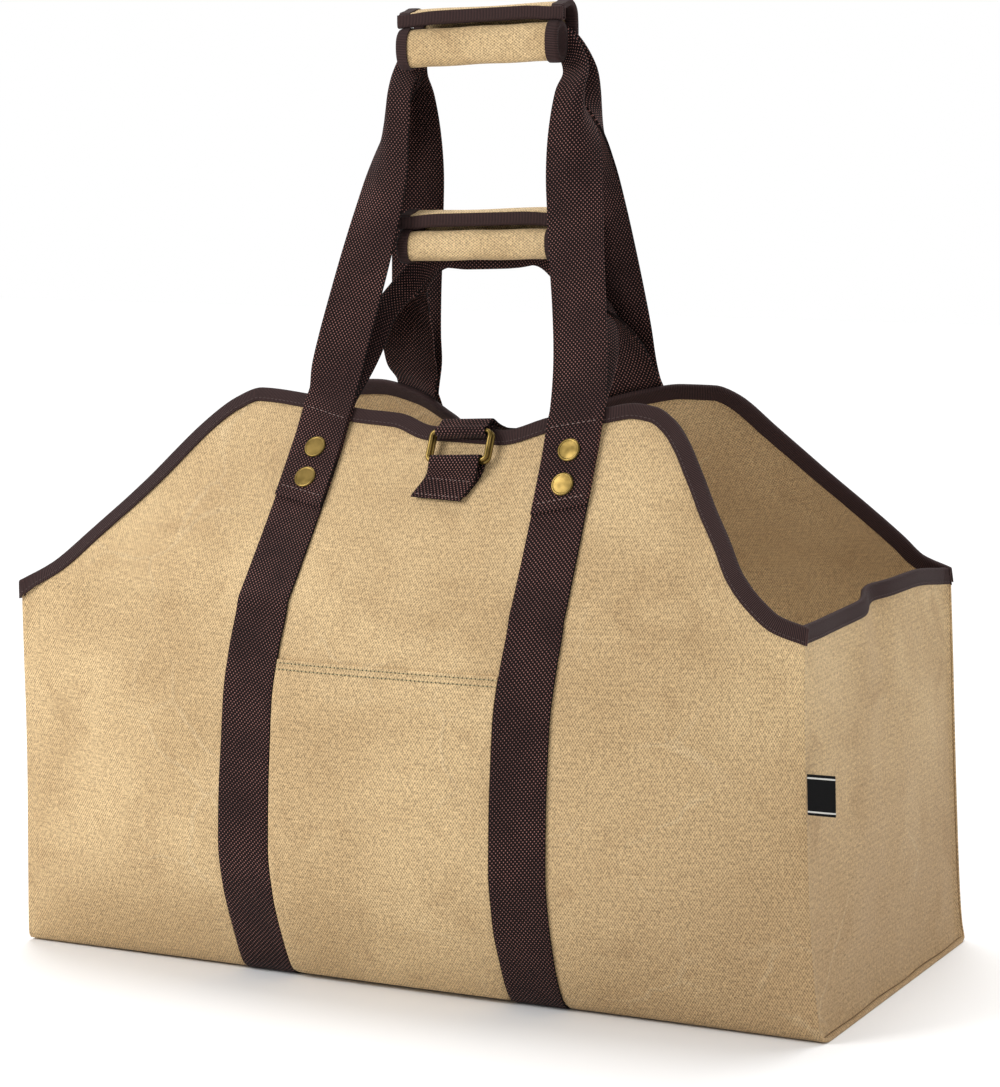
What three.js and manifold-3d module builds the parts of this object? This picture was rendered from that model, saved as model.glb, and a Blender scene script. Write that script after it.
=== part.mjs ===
// Canvas log carrier: a waxed canvas box bag with webbing straps, bound rims and two pairs of handles.
// Millimetres, +Z up, the front faces -Y. The origin is the middle of the underside.
import * as THREE from "three";
import { mergeVertices } from "three/addons/utils/BufferGeometryUtils.js";
import Module from "manifold-3d";

const wasm = await Module();
wasm.setup();

// Driving sizes of the bag
const bagLength = 580;
const bagDepth = 283;
const wallHeight = 249;
const panelRise = 133;
const bellyDepth = 33;
const cornerBulge = 4;
const endLean = 16;
const farEndBow = 4;
const endBelly = 5;
const rimCrease = 7;
const clothThickness = 2;
const pocketThickness = 1.4;
const pocketHeight = 214;
const seamLip = 2.5;
const seatGap = 0.3;

// Driving sizes of the trim
const bindingWidth = 9.5;
const bindingThickness = 1;
const webbingWidth = 38;
const webbingThickness = 1.6;
const strapSpacing = 196;
const handleBox = 66;
const boxSkew = 5;
const handleOverlap = 5;
const rimStandoff = 4;
const rivetRadius = 7.7;
const rivetHeight = 2.2;
const upperRivetDrop = 31;
const lowerRivetDrop = 54;

// Driving sizes of the handles and their grips
const longHandleRise = 235;
const shortHandleRise = 104;
const gripLength = 118;
const gripShift = -3;
const gripDepthPlace = -19;
const rollDepth = 17;
const upperRollHeight = 25;
const lowerRollHeight = 20;
const rollThickness = 1.6;
const rollSides = 12;
const gripTilt = 4;
const foldedWidth = 20;
const foldedThickness = 3.4;
const flapThickness = 1.6;
const flapClearance = 13.5;
const flapFall = 9;
const flapTail = 9;
const gripBindingWidth = 7;

// Driving sizes of the clasp and the side label
const claspShift = 19;
const ringWidth = 48;
const ringHeight = 23;
const ringWire = 3.2;
const ringCorner = 3.2;
const ringSpacing = 3.7;
const ringDrop = 15;
const tabLength = 27;
const tabSlant = 0.5;
const securityTail = 45;
const labelWidth = 18;
const labelHeight = 25;
const labelThickness = 1;
const labelPlace = 155;

// Rim of the front panel. at: share of half the length, up: share of the rise,
// lean: how far it leans in for each millimetre of rise
const frontRim = [
  { at: -1, up: 0, lean: 0.6, shift: 0 },
  { at: -0.924, up: 0.1, lean: 0.66, shift: 0 },
  { at: -0.854, up: 0.26, lean: 0.7, shift: 0 },
  { at: -0.759, up: 0.49, lean: 0.7, shift: 0 },
  { at: -0.667, up: 0.755, lean: 0.7, shift: 0 },
  { at: -0.6, up: 0.915, lean: 0.69, shift: 0.012 },
  { at: -0.538, up: 0.97, lean: 0.69, shift: 0.012 },
  { at: -0.416, up: 0.95, lean: 0.69, shift: 0.012 },
  { at: -0.255, up: 0.89, lean: 0.67, shift: 0.012 },
  { at: -0.149, up: 0.88, lean: 0.64, shift: 0.012 },
  { at: -0.032, up: 0.83, lean: 0.6, shift: 0 },
  { at: 0.148, up: 0.83, lean: 0.53, shift: 0 },
  { at: 0.271, up: 0.905, lean: 0.48, shift: 0 },
  { at: 0.404, up: 0.96, lean: 0.46, shift: 0 },
  { at: 0.47, up: 0.985, lean: 0.46, shift: 0 },
  { at: 0.525, up: 0.97, lean: 0.46, shift: 0 },
  { at: 0.572, up: 0.915, lean: 0.46, shift: 0 },
  { at: 0.611, up: 0.835, lean: 0.45, shift: 0 },
  { at: 0.656, up: 0.7, lean: 0.45, shift: 0 },
  { at: 0.708, up: 0.54, lean: 0.43, shift: 0 },
  { at: 0.758, up: 0.41, lean: 0.38, shift: 0 },
  { at: 0.808, up: 0.27, lean: 0.3, shift: 0 },
  { at: 0.869, up: 0.155, lean: 0.25, shift: 0 },
  { at: 0.93, up: 0.08, lean: 0.2, shift: 0 },
  { at: 1, up: 0.045, lean: 0.2, shift: 0 },
];

// Rim of the back panel, pulled forward in the middle. shift: share of half the length
const backRim = [
  { at: -1, up: 0.04, lean: 0.5, shift: 0 },
  { at: -0.92, up: 0.11, lean: 0.52, shift: 0 },
  { at: -0.85, up: 0.24, lean: 0.54, shift: 0 },
  { at: -0.76, up: 0.46, lean: 0.56, shift: 0 },
  { at: -0.67, up: 0.7, lean: 0.58, shift: 0.01 },
  { at: -0.6, up: 0.86, lean: 0.6, shift: 0.02 },
  { at: -0.53, up: 0.95, lean: 0.62, shift: 0.03 },
  { at: -0.45, up: 0.965, lean: 0.66, shift: 0.04 },
  { at: -0.338, up: 0.925, lean: 0.76, shift: 0.041 },
  { at: -0.2, up: 0.82, lean: 1.05, shift: 0.038 },
  { at: -0.09, up: 0.75, lean: 1.35, shift: 0.025 },
  { at: 0.04, up: 0.735, lean: 1.46, shift: 0.005 },
  { at: 0.17, up: 0.81, lean: 1.25, shift: -0.01 },
  { at: 0.264, up: 0.93, lean: 1.02, shift: -0.02 },
  { at: 0.376, up: 0.995, lean: 0.92, shift: -0.02 },
  { at: 0.446, up: 1.02, lean: 0.88, shift: -0.015 },
  { at: 0.518, up: 1.015, lean: 0.83, shift: -0.01 },
  { at: 0.557, up: 0.96, lean: 0.8, shift: 0 },
  { at: 0.616, up: 0.8, lean: 0.75, shift: 0 },
  { at: 0.711, up: 0.565, lean: 0.68, shift: 0 },
  { at: 0.79, up: 0.395, lean: 0.62, shift: 0 },
  { at: 0.875, up: 0.22, lean: 0.55, shift: 0 },
  { at: 0.923, up: 0.12, lean: 0.5, shift: 0 },
  { at: 1, up: 0.06, lean: 0.4, shift: 0 },
];

// Bulge of the long walls. up: share of the wall's height, out: share of the belly
const wallBulge = [
  { up: 0, out: 0 },
  { up: 0.06, out: 0.28 },
  { up: 0.13, out: 0.53 },
  { up: 0.25, out: 0.85 },
  { up: 0.37, out: 1 },
  { up: 0.5, out: 0.98 },
  { up: 0.64, out: 0.9 },
  { up: 0.76, out: 0.8 },
  { up: 0.88, out: 0.52 },
  { up: 1, out: 0.16 },
  { up: 1.1, out: 0.09 },
  { up: 1.2, out: 0.04 },
  { up: 1.32, out: 0 },
  { up: 2, out: 0 },
];

// Rim of an end wall. across: -1 front to 1 back, up: share of the wall's height
const endRim = [
  { across: -1, up: 0 },
  { across: -0.6, up: 0 },
  { across: -0.25, up: 0.006 },
  { across: -0.08, up: 0.016 },
  { across: 0.05, up: 0.026 },
  { across: 0.45, up: 0.03 },
  { across: 1, up: 0 },
];

// Route of a handle leg, from the rim to the grip. All four columns are shares:
// of the rise, of the way in to the grip along X and Y, and of the fold
const longLeg = [
  { up: 0.07, inward: 0.04, depth: 0.08, fold: 0 },
  { up: 0.16, inward: 0.13, depth: 0.18, fold: 0 },
  { up: 0.28, inward: 0.29, depth: 0.31, fold: 0 },
  { up: 0.4, inward: 0.46, depth: 0.43, fold: 0.04 },
  { up: 0.52, inward: 0.62, depth: 0.56, fold: 0.14 },
  { up: 0.64, inward: 0.77, depth: 0.68, fold: 0.28 },
  { up: 0.75, inward: 0.9, depth: 0.79, fold: 0.45 },
  { up: 0.85, inward: 0.98, depth: 0.88, fold: 0.7 },
  { up: 0.925, inward: 1, depth: 0.96, fold: 1 },
];
const shortLeg = [
  { up: 0.13, inward: 0.04, depth: 0.2, fold: 0 },
  { up: 0.27, inward: 0.13, depth: 0.42, fold: 0.05 },
  { up: 0.41, inward: 0.26, depth: 0.62, fold: 0.15 },
  { up: 0.54, inward: 0.42, depth: 0.8, fold: 0.4 },
  { up: 0.67, inward: 0.61, depth: 0.95, fold: 0.7 },
  { up: 0.8, inward: 0.81, depth: 1, fold: 1 },
];

// Rows of the long walls below the handle boxes, as shares of what is left down to the base
const pocketRow = 7;
const lowerRows = [0.13, 0.26, 0.38, 0.5, 0.63, 0.76, 0.88, 0.98, 1];
const baseRows = [-0.6, 0, 0.6];

const materials = {
  canvas: { color: 0xd0b285, roughness: 0.82, metalness: 0 },
  webbing: { color: 0x3a2a28, roughness: 0.9, metalness: 0 },
  binding: { color: 0x46353a, roughness: 0.85, metalness: 0 },
  brass: { color: 0x8a6f35, roughness: 0.38, metalness: 1 },
  label: { color: 0x121212, roughness: 0.7, metalness: 0 },
};

const halfLength = bagLength / 2;
const halfDepth = bagDepth / 2;
const strapLift = webbingThickness + seatGap;
const rimClearance = bindingThickness + 2 * seatGap;
const layerStep = webbingThickness + seatGap;
const tabWidth = Math.min(webbingWidth, ringWidth - 2 * ringWire - 2 * seatGap);

const group = new THREE.Group();
group.name = "canvas_log_carrier";

function addPiece(name, finish, geometry) {
  const mesh = new THREE.Mesh(geometry, new THREE.MeshStandardMaterial(materials[finish]));
  mesh.name = name;
  group.add(mesh);
  return mesh;
}

function clamp(value, low, high) {
  return Math.min(Math.max(value, low), high);
}

// Smooth value of one column of a table, with no overshoot between rows
function lookup(rows, key, name, at) {
  const last = rows.length - 1;
  const place = clamp(at, rows[0][key], rows[last][key]);
  let i = 0;
  while (i < last - 1 && rows[i + 1][key] < place) {
    i += 1;
  }
  const rate = (k) => (rows[k + 1][name] - rows[k][name]) / (rows[k + 1][key] - rows[k][key]);
  const slope = (k) => {
    if (k === 0 || k === last) {
      return rate(k === 0 ? 0 : last - 1);
    }
    const before = rate(k - 1);
    const after = rate(k);
    return before * after <= 0 ? 0 : (2 * before * after) / (before + after);
  };
  const span = rows[i + 1][key] - rows[i][key];
  const t = (place - rows[i][key]) / span;
  const value = (2 * t ** 3 - 3 * t ** 2 + 1) * rows[i][name] + (3 * t ** 2 - 2 * t ** 3) * rows[i + 1][name];
  return value + span * ((t ** 3 - 2 * t ** 2 + t) * slope(i) + (t ** 3 - t ** 2) * slope(i + 1));
}

// Closed solid between an outer and an inner grid of points, each grid[row][column].
// flipped names the bands between rows whose faces are split along their other diagonal
function sheetSolid(outer, inner, { looped = false, flipped = () => false } = {}) {
  const rows = outer.length;
  const columns = outer[0].length;
  const points = [];
  for (const grid of [outer, inner]) {
    for (const row of grid) {
      for (const p of row) {
        points.push(p.x, p.y, p.z);
      }
    }
  }
  const faces = [];
  const quad = (a, b, c, d, flip = false) => {
    if (flip) {
      faces.push(b, c, d, b, d, a);
    } else {
      faces.push(a, b, c, a, c, d);
    }
  };
  const o = (j, i) => j * columns + (i % columns);
  const n = (j, i) => rows * columns + o(j, i);
  const steps = looped ? columns : columns - 1;
  for (let i = 0; i < steps; i += 1) {
    for (let j = 0; j < rows - 1; j += 1) {
      quad(o(j, i), o(j, i + 1), o(j + 1, i + 1), o(j + 1, i), flipped(j));
      quad(n(j, i), n(j + 1, i), n(j + 1, i + 1), n(j, i + 1), flipped(j));
    }
    quad(o(0, i + 1), o(0, i), n(0, i), n(0, i + 1));
    quad(o(rows - 1, i), o(rows - 1, i + 1), n(rows - 1, i + 1), n(rows - 1, i));
  }
  if (!looped) {
    for (let j = 0; j < rows - 1; j += 1) {
      quad(o(j + 1, columns - 1), o(j, columns - 1), n(j, columns - 1), n(j + 1, columns - 1));
      quad(o(j, 0), o(j + 1, 0), n(j + 1, 0), n(j, 0));
    }
  }
  return orientedGeometry(points, faces);
}

function orientedGeometry(points, faces) {
  const at = (k) => new THREE.Vector3(points[3 * k], points[3 * k + 1], points[3 * k + 2]);
  let volume = 0;
  for (let k = 0; k < faces.length; k += 3) {
    volume += at(faces[k]).dot(at(faces[k + 1]).cross(at(faces[k + 2])));
  }
  if (volume < 0) {
    for (let k = 0; k < faces.length; k += 3) {
      [faces[k + 1], faces[k + 2]] = [faces[k + 2], faces[k + 1]];
    }
  }
  const geometry = new THREE.BufferGeometry();
  geometry.setAttribute("position", new THREE.Float32BufferAttribute(points, 3));
  geometry.setIndex(faces);
  geometry.computeVertexNormals();
  return geometry;
}

// Outward direction at each grid point, long enough for an even thickness round a bend in its column
function gridNormals(grid, facing) {
  const rows = grid.length;
  const columns = grid[0].length;
  const sub = (a, b) => new THREE.Vector3().subVectors(a, b);
  return grid.map((row, j) =>
    row.map((p, i) => {
      const along = sub(grid[j][Math.min(i + 1, columns - 1)], grid[j][Math.max(i - 1, 0)]);
      const before = sub(p, grid[Math.max(j - 1, 0)][i]);
      const after = sub(grid[Math.min(j + 1, rows - 1)][i], p);
      const first = (j > 0 ? before : after).clone().cross(along).normalize();
      const second = (j < rows - 1 ? after : before).clone().cross(along).normalize();
      const normal = first.clone().add(second).normalize();
      return normal.multiplyScalar(facing / clamp(normal.dot(first), 0.6, 1));
    })
  );
}

function offsetGrid(grid, normals, distance) {
  return grid.map((row, j) => row.map((p, i) => p.clone().addScaledVector(normals[j][i], distance)));
}

function pickGrid(grid, rows, columns) {
  return rows.map((j) => columns.map((i) => grid[j][i].clone()));
}

function rangeOf(first, last) {
  const step = first <= last ? 1 : -1;
  return Array.from({ length: Math.abs(last - first) + 1 }, (_, k) => first + k * step);
}

// Columns of the long panel: the straps' edges and middles are columns of their own
function panelColumns() {
  const strapMiddle = strapSpacing / 2 / halfLength;
  const strapHalf = webbingWidth / 2 / halfLength;
  const middle = claspShift / halfLength;
  const tabHalf = tabWidth / 2 / halfLength;
  const stops = [
    { at: -1, steps: 6 },
    { at: -strapMiddle - strapHalf, steps: 1 },
    { at: -strapMiddle, steps: 1 },
    { at: -strapMiddle + strapHalf, steps: 2 },
    { at: middle - tabHalf, steps: 1 },
    { at: middle, steps: 1 },
    { at: middle + tabHalf, steps: 2 },
    { at: strapMiddle - strapHalf, steps: 1 },
    { at: strapMiddle, steps: 1 },
    { at: strapMiddle + strapHalf, steps: 7 },
    { at: 1, steps: 0 },
  ];
  const shares = [];
  const marks = [];
  stops.forEach((stop, k) => {
    marks.push(shares.length);
    const next = stops[Math.min(k + 1, stops.length - 1)];
    for (let s = 0; s < Math.max(stop.steps, k === stops.length - 1 ? 1 : 0); s += 1) {
      shares.push(stop.at + ((next.at - stop.at) * s) / Math.max(stop.steps, 1));
    }
  });
  return { shares, left: marks.slice(1, 4), tab: marks.slice(4, 7), right: marks.slice(7, 10) };
}

const columns = panelColumns();
const lastColumn = columns.shares.length - 1;

// The base rests on the floor and rises a little over each strap
function baseLift(u) {
  const strapMiddle = strapSpacing / 2 / halfLength;
  const strapHalf = webbingWidth / 2 / halfLength;
  return Math.abs(Math.abs(u) - strapMiddle) < strapHalf * 1.01 ? strapLift : 0;
}

function rimHeight(u, side) {
  return wallHeight + panelRise * lookup(side < 0 ? frontRim : backRim, "at", "up", u);
}

// Point on the outer face of a long wall. side: -1 front, 1 back
function wallPoint(u, side, z) {
  const rim = side < 0 ? frontRim : backRim;
  const top = rimHeight(u, side);
  const overWall = Math.max(z - wallHeight, 0);
  const roof = overWall / Math.max(top - wallHeight, 1);
  const belly = cornerBulge + bellyDepth * (1 - u * u);
  const bulge = belly * lookup(wallBulge, "up", "out", z / wallHeight);
  const lean = lookup(rim, "at", "lean", u) * overWall;
  const shift = lookup(rim, "at", "shift", u) * halfLength * roof;
  const share = Math.min(z / wallHeight, 1);
  const near = endLean * Math.max(u, 0) ** 4 * Math.sqrt(share);
  const far = farEndBow * Math.max(-u, 0) ** 4 * Math.sin(Math.PI * share);
  const lift = baseLift(u) * Math.max(1 - z / wallHeight, 0);
  return new THREE.Vector3(u * halfLength - near + far + shift, side * (halfDepth + bulge - lean), z + lift);
}

// One column of a long wall, from its rim down, at the given drops along the cloth
function wallColumn(u, side) {
  const top = rimHeight(u, side);
  const samples = 90;
  const line = Array.from({ length: samples + 1 }, (_, k) => wallPoint(u, side, top * (1 - k / samples)));
  const run = [0];
  for (let k = 1; k <= samples; k += 1) {
    run.push(run[k - 1] + line[k].distanceTo(line[k - 1]));
  }
  const pointAt = (drop) => {
    const d = clamp(drop, 0, run[samples]);
    let k = 1;
    while (k < samples && run[k] < d) {
      k += 1;
    }
    return line[k - 1].clone().lerp(line[k], (d - run[k - 1]) / (run[k] - run[k - 1]));
  };
  const probe = 0.01;
  const before = clamp(u - probe, -1, 1);
  const after = clamp(u + probe, -1, 1);
  const along = wallPoint(after, side, rimHeight(after, side)).sub(wallPoint(before, side, rimHeight(before, side)));
  const down = line[1].clone().sub(line[0]);
  const skew = Math.sin(along.angleTo(down));
  const boxDrop = handleBox - (boxSkew * u * bagLength) / strapSpacing;
  const bound = Math.min(bindingWidth / Math.max(skew, 0.3), boxDrop * 0.45);
  const boxEnd = boxDrop + handleOverlap;
  const drops = [0, bound, (bindingWidth + boxDrop) / 2, boxDrop, boxEnd];
  const rest = run[samples] - boxEnd;
  const pocketShare = lowerRows[pocketRow - 5];
  const [above, below] = [lowerRows[pocketRow - 6], lowerRows[pocketRow - 4]];
  const hem = line.findIndex((p) => p.z < pocketHeight);
  const wanted = clamp((run[hem] - boxEnd) / rest, above + 0.02, below - 0.02);
  const rows = lowerRows.map((share) => (share === pocketShare ? wanted : share));
  return [...drops, ...rows.map((share) => boxEnd + rest * share)].map(pointAt);
}

// Grid of the long panel: front rim, front wall, base, back wall, back rim
function panelGrid() {
  const front = columns.shares.map((u) => wallColumn(u, -1));
  const back = columns.shares.map((u) => wallColumn(u, 1));
  const wallRows = front[0].length;
  const grid = [];
  for (let j = 0; j < wallRows; j += 1) {
    grid.push(front.map((column) => column[j]));
  }
  for (const share of baseRows) {
    grid.push(columns.shares.map((u) => new THREE.Vector3(u * halfLength, share * halfDepth, baseLift(u))));
  }
  for (let j = wallRows - 1; j >= 0; j -= 1) {
    grid.push(back.map((column) => column[j]));
  }
  return { grid, wallRows };
}

const panel = panelGrid();
const outerGrid = panel.grid;
const normals = gridNormals(outerGrid, 1);
const innerGrid = offsetGrid(outerGrid, normals, -clothThickness);
const lastRow = outerGrid.length - 1;
const rowOf = (side, j) => (side < 0 ? j : lastRow - j);

addPiece("main_panel", "canvas", sheetSolid(outerGrid, innerGrid));

// An end wall stands between the long walls and on the base, a seam lip in from their edges
function endGrid(end) {
  const column = end < 0 ? 0 : lastColumn;
  const across = rangeOf(-4, 4).map((k) => k / 4);
  const rimStep = bindingThickness + 4 * seatGap;
  return rangeOf(0, panel.wallRows - 1).map((j) => {
    const step = seatGap + (j < 2 ? rimStep : 0);
    const front = innerGrid[j][column].clone();
    const back = innerGrid[lastRow - j][column].clone();
    front.y += step;
    back.y -= step;
    const floor = clothThickness + seatGap;
    front.z = Math.max(front.z, floor);
    back.z = Math.max(back.z, floor);
    return across.map((c) => {
      const p = front.clone().lerp(back, (c + 1) / 2);
      const up = p.z / wallHeight;
      const belly = endBelly * (1 - c * c) * Math.sin(Math.PI * clamp(up, 0, 1));
      const below = (1 - clamp(up, 0, 1)) * wallHeight;
      const crease = rimCrease * Math.exp(-((c / 0.14) ** 2)) * Math.exp(-below / 45);
      p.x += end * (belly - crease - seamLip);
      p.z += wallHeight * lookup(endRim, "across", "up", c) * clamp(up, 0, 1) ** 2;
      return p;
    });
  });
}

const ends = [
  { name: "left", end: -1 },
  { name: "right", end: 1 },
].map(({ name, end }) => {
  const grid = endGrid(end);
  const away = gridNormals(grid, -end);
  const inner = offsetGrid(grid, away, -clothThickness);
  addPiece(`end_panel_${name}`, "canvas", sheetSolid(grid, inner));
  return { name, grid, away, inner };
});

// Folded tape over a rim: down the outside, over the edge and down the inside
function rimBinding(outer, inner, away, flippedBands) {
  const last = outer[0].length - 1;
  const skew = (i, k) => {
    const chord = outer[0][clamp(k, 0, last)].clone().sub(outer[0][i]);
    return chord.lengthSq() > 0 ? Math.sin(chord.angleTo(outer[0][i].clone().sub(outer[1][i]))) : 1;
  };
  const lift = outer[0].map((_, i) => 1 / Math.max(Math.min(skew(i, i - 1), skew(i, i + 1)), 0.3));
  const wrap = (distance) => {
    const rise = (i) => outer[0][i].clone().sub(outer[1][i]).normalize().multiplyScalar(distance * lift[i]);
    const row = (grid, j, sign, lifted) =>
      grid[j].map((p, i) => {
        const q = p.clone().addScaledVector(away[j][i], sign * distance);
        return lifted ? q.add(rise(i)) : q;
      });
    return [row(outer, 1, 1, false), row(outer, 0, 1, true), row(inner, 0, -1, true), row(inner, 1, -1, false)];
  };
  const flipped = (band) => flippedBands.includes(band);
  return sheetSolid(wrap(seatGap + bindingThickness), wrap(seatGap), { flipped });
}

const everyColumn = rangeOf(0, lastColumn);
for (const side of [-1, 1]) {
  const rows = [rowOf(side, 0), rowOf(side, 1)];
  const pick = (grid) => pickGrid(grid, rows, everyColumn);
  const name = side < 0 ? "front_binding" : "back_binding";
  const solid = rimBinding(pick(outerGrid), pick(innerGrid), pick(normals), side < 0 ? [0, 1] : [2]);
  addPiece(name, "binding", solid);
}
for (const { name, grid, away, inner } of ends) {
  const pair = (rows) => [rows[0], rows[1]];
  addPiece(`end_binding_${name}`, "binding", rimBinding(pair(grid), pair(inner), pair(away), [0, 1]));
}

// Patch pocket between the straps, from its hem down to the lower edge of the front
function pocketSolid() {
  const rows = rangeOf(pocketRow, panel.wallRows - 2);
  const picked = rangeOf(columns.left[2], columns.right[0]);
  const base = pickGrid(outerGrid, rows, picked);
  const away = pickGrid(normals, rows, picked);
  base.forEach((row) => {
    row[0].x += seatGap;
    row[row.length - 1].x -= seatGap;
  });
  return sheetSolid(offsetGrid(base, away, seatGap + pocketThickness), offsetGrid(base, away, seatGap));
}
addPiece("front_pocket", "canvas", pocketSolid());

// Body strap: sewn to the outside, from the front handle box under the base to the back one
function strapSolid(picked) {
  const rows = rangeOf(3, lastRow - 3);
  const base = pickGrid(outerGrid, rows, picked);
  const away = pickGrid(normals, rows, picked);
  const trim = seatGap / handleOverlap;
  base[0].forEach((p, i) => p.lerp(base[1][i], trim));
  const end = base.length - 1;
  base[end].forEach((p, i) => p.lerp(base[end - 1][i], trim));
  return sheetSolid(offsetGrid(base, away, seatGap + webbingThickness), offsetGrid(base, away, seatGap));
}
addPiece("strap_left", "webbing", strapSolid(columns.left));
addPiece("strap_right", "webbing", strapSolid(columns.right));

// Sewn end of a handle: sections of five points across, from its lower end up to the rim
function sewnSections(side, picked, layer) {
  const rows = layer === 1 ? [3, 2, 1, 0, -1] : [4, 3, 2, 1, 0, -1];
  return rows.map((j) => {
    const row = rowOf(side, Math.max(j, 0));
    const below = rowOf(side, 1);
    const over = seatGap + (j < 2 ? rimClearance - seatGap : 0) + (layer - 1) * layerStep;
    const at = (distance) => {
      const [a, b, c] = picked.map((i) => {
        const p = outerGrid[row][i].clone().addScaledVector(normals[row][i], distance);
        const rise = outerGrid[row][i].clone().sub(outerGrid[below][i]).normalize();
        return j < 0 ? p.addScaledVector(rise, rimStandoff) : p;
      });
      return [a, a.clone().lerp(b, 0.5), b, b.clone().lerp(c, 0.5), c];
    };
    return { outer: at(over + webbingThickness), inner: at(over) };
  });
}

// Place of the webbing of one handle inside its grip
function gripPlace(level) {
  const rise = level === "long" ? longHandleRise : shortHandleRise;
  const z = wallHeight + panelRise * 0.93 + rise;
  return { x: gripShift, y: gripDepthPlace, z, rollHeight: level === "long" ? upperRollHeight : lowerRollHeight };
}

const webbingSeat = rollDepth / 2 + bindingThickness + 6 * seatGap + foldedThickness / 2;
const webbingStep = foldedThickness + 3 * seatGap;

function handleSolid(side, level) {
  const layer = level === "long" ? 2 : 1;
  const grip = gripPlace(level);
  const drop = level === "long" ? -2 : 7;
  const run = {
    y: grip.y + webbingSeat + (side < 0 ? 0 : webbingStep),
    z: grip.z - drop,
    half: gripLength / 2 + (level === "long" ? 6 : -7),
  };
  const legs = [-1, 1].map((end) => {
    const sections = sewnSections(side, end < 0 ? columns.left : columns.right, layer);
    const rim = sections[sections.length - 1];
    const start = rim.outer[2].clone().lerp(rim.inner[2], 0.5);
    const before = sections[sections.length - 2];
    const lead = before.outer[2].clone().lerp(before.inner[2], 0.5);
    const target = new THREE.Vector3(grip.x + end * run.half, run.y, run.z);
    const stations = (level === "long" ? longLeg : shortLeg).map((row) => ({
      point: new THREE.Vector3(
        THREE.MathUtils.lerp(start.x, target.x, row.inward),
        THREE.MathUtils.lerp(start.y, target.y, row.depth),
        THREE.MathUtils.lerp(start.z, target.z, row.up)
      ),
      fold: row.fold,
    }));
    return { sections, start, lead, stations };
  });
  const through = [-0.78, -0.3, 0.3, 0.78].map((share) => ({
    point: new THREE.Vector3(grip.x + share * run.half, run.y, run.z + share * gripTilt * 0.5),
    fold: 1,
  }));
  const right = [...legs[1].stations].reverse();
  const stations = [
    { point: legs[0].lead, fold: 0 },
    { point: legs[0].start, fold: 0 },
    ...legs[0].stations,
    ...through,
    ...right,
    { point: legs[1].start, fold: 0 },
    { point: legs[1].lead, fold: 0 },
  ];
  const curve = new THREE.CatmullRomCurve3(stations.map((s) => s.point), false, "centripetal");
  const spans = stations.length - 1;
  const free = [];
  for (let k = 2; k < spans - 1; k += 1) {
    free.push(webbingSection(curve, k / spans, side, stations[k].fold));
  }
  const order = (section, leaving) => {
    const flip = side < 0 ? !leaving : leaving;
    return flip ? { outer: [...section.outer].reverse(), inner: [...section.inner].reverse() } : section;
  };
  const sections = [
    ...legs[0].sections.map((s) => order(s, true)),
    ...free,
    ...[...legs[1].sections].reverse().map((s) => order(s, false)),
  ];
  return sheetSolid(sections.map((s) => s.outer), sections.map((s) => s.inner), { flipped: () => true });
}

// Section of a webbing that folds lengthwise: half as wide and twice as thick when folded
function webbingSection(curve, place, side, fold) {
  const step = 0.002;
  const centre = curve.getPoint(place);
  const along = curve.getPoint(place + step).sub(curve.getPoint(place - step)).normalize();
  const facing = new THREE.Vector3(0, side, 0);
  facing.addScaledVector(along, -facing.dot(along)).normalize();
  const across = along.clone().cross(facing);
  const width = THREE.MathUtils.lerp(webbingWidth, foldedWidth, fold);
  const thickness = THREE.MathUtils.lerp(webbingThickness, foldedThickness, fold);
  const at = (distance) =>
    rangeOf(-2, 2).map((k) =>
      centre.clone().addScaledVector(across, (side < 0 ? k : k) * width / 4).addScaledVector(facing, distance)
    );
  return { outer: at(thickness / 2), inner: at(-thickness / 2) };
}

for (const level of ["long", "short"]) {
  addPiece(`${level}_handle_front`, "webbing", handleSolid(-1, level));
  addPiece(`${level}_handle_back`, "webbing", handleSolid(1, level));
}

// Rings of points round a grip's roll, grown outward by a distance, between two places along it
function rollRings(grow, places, grip) {
  return places.map((x) => {
    const tilt = (gripTilt * x) / gripLength;
    return rangeOf(0, rollSides - 1).map((s) => {
      const angle = (2 * Math.PI * (s + 0.5)) / rollSides;
      const y = grip.y + (rollDepth / 2 + grow) * Math.cos(angle);
      return new THREE.Vector3(grip.x + x, y, grip.z + tilt + (grip.rollHeight / 2 + grow) * Math.sin(angle));
    });
  });
}

const rollEdge = gripLength / 2 - bindingThickness - seatGap;

// Canvas rolled into a tube in front of the webbing
function rollSolid(grip) {
  const places = [-rollEdge, 0, rollEdge];
  return sheetSolid(rollRings(0, places, grip), rollRings(-rollThickness, places, grip), { looped: true });
}

// Tape folded over an end of the roll
function rollBindingSolid(grip, end) {
  const start = rollEdge - gripBindingWidth;
  const wrap = (distance) => {
    const outer = rollRings(distance / Math.cos(Math.PI / rollSides), [end * start, end * (rollEdge + distance)], grip);
    const inside = -(rollThickness + distance) / Math.cos(Math.PI / rollSides);
    const inner = rollRings(inside, [end * (rollEdge + distance), end * start], grip);
    return [...outer, ...inner];
  };
  return sheetSolid(wrap(seatGap + bindingThickness), wrap(seatGap), { looped: true });
}

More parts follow.
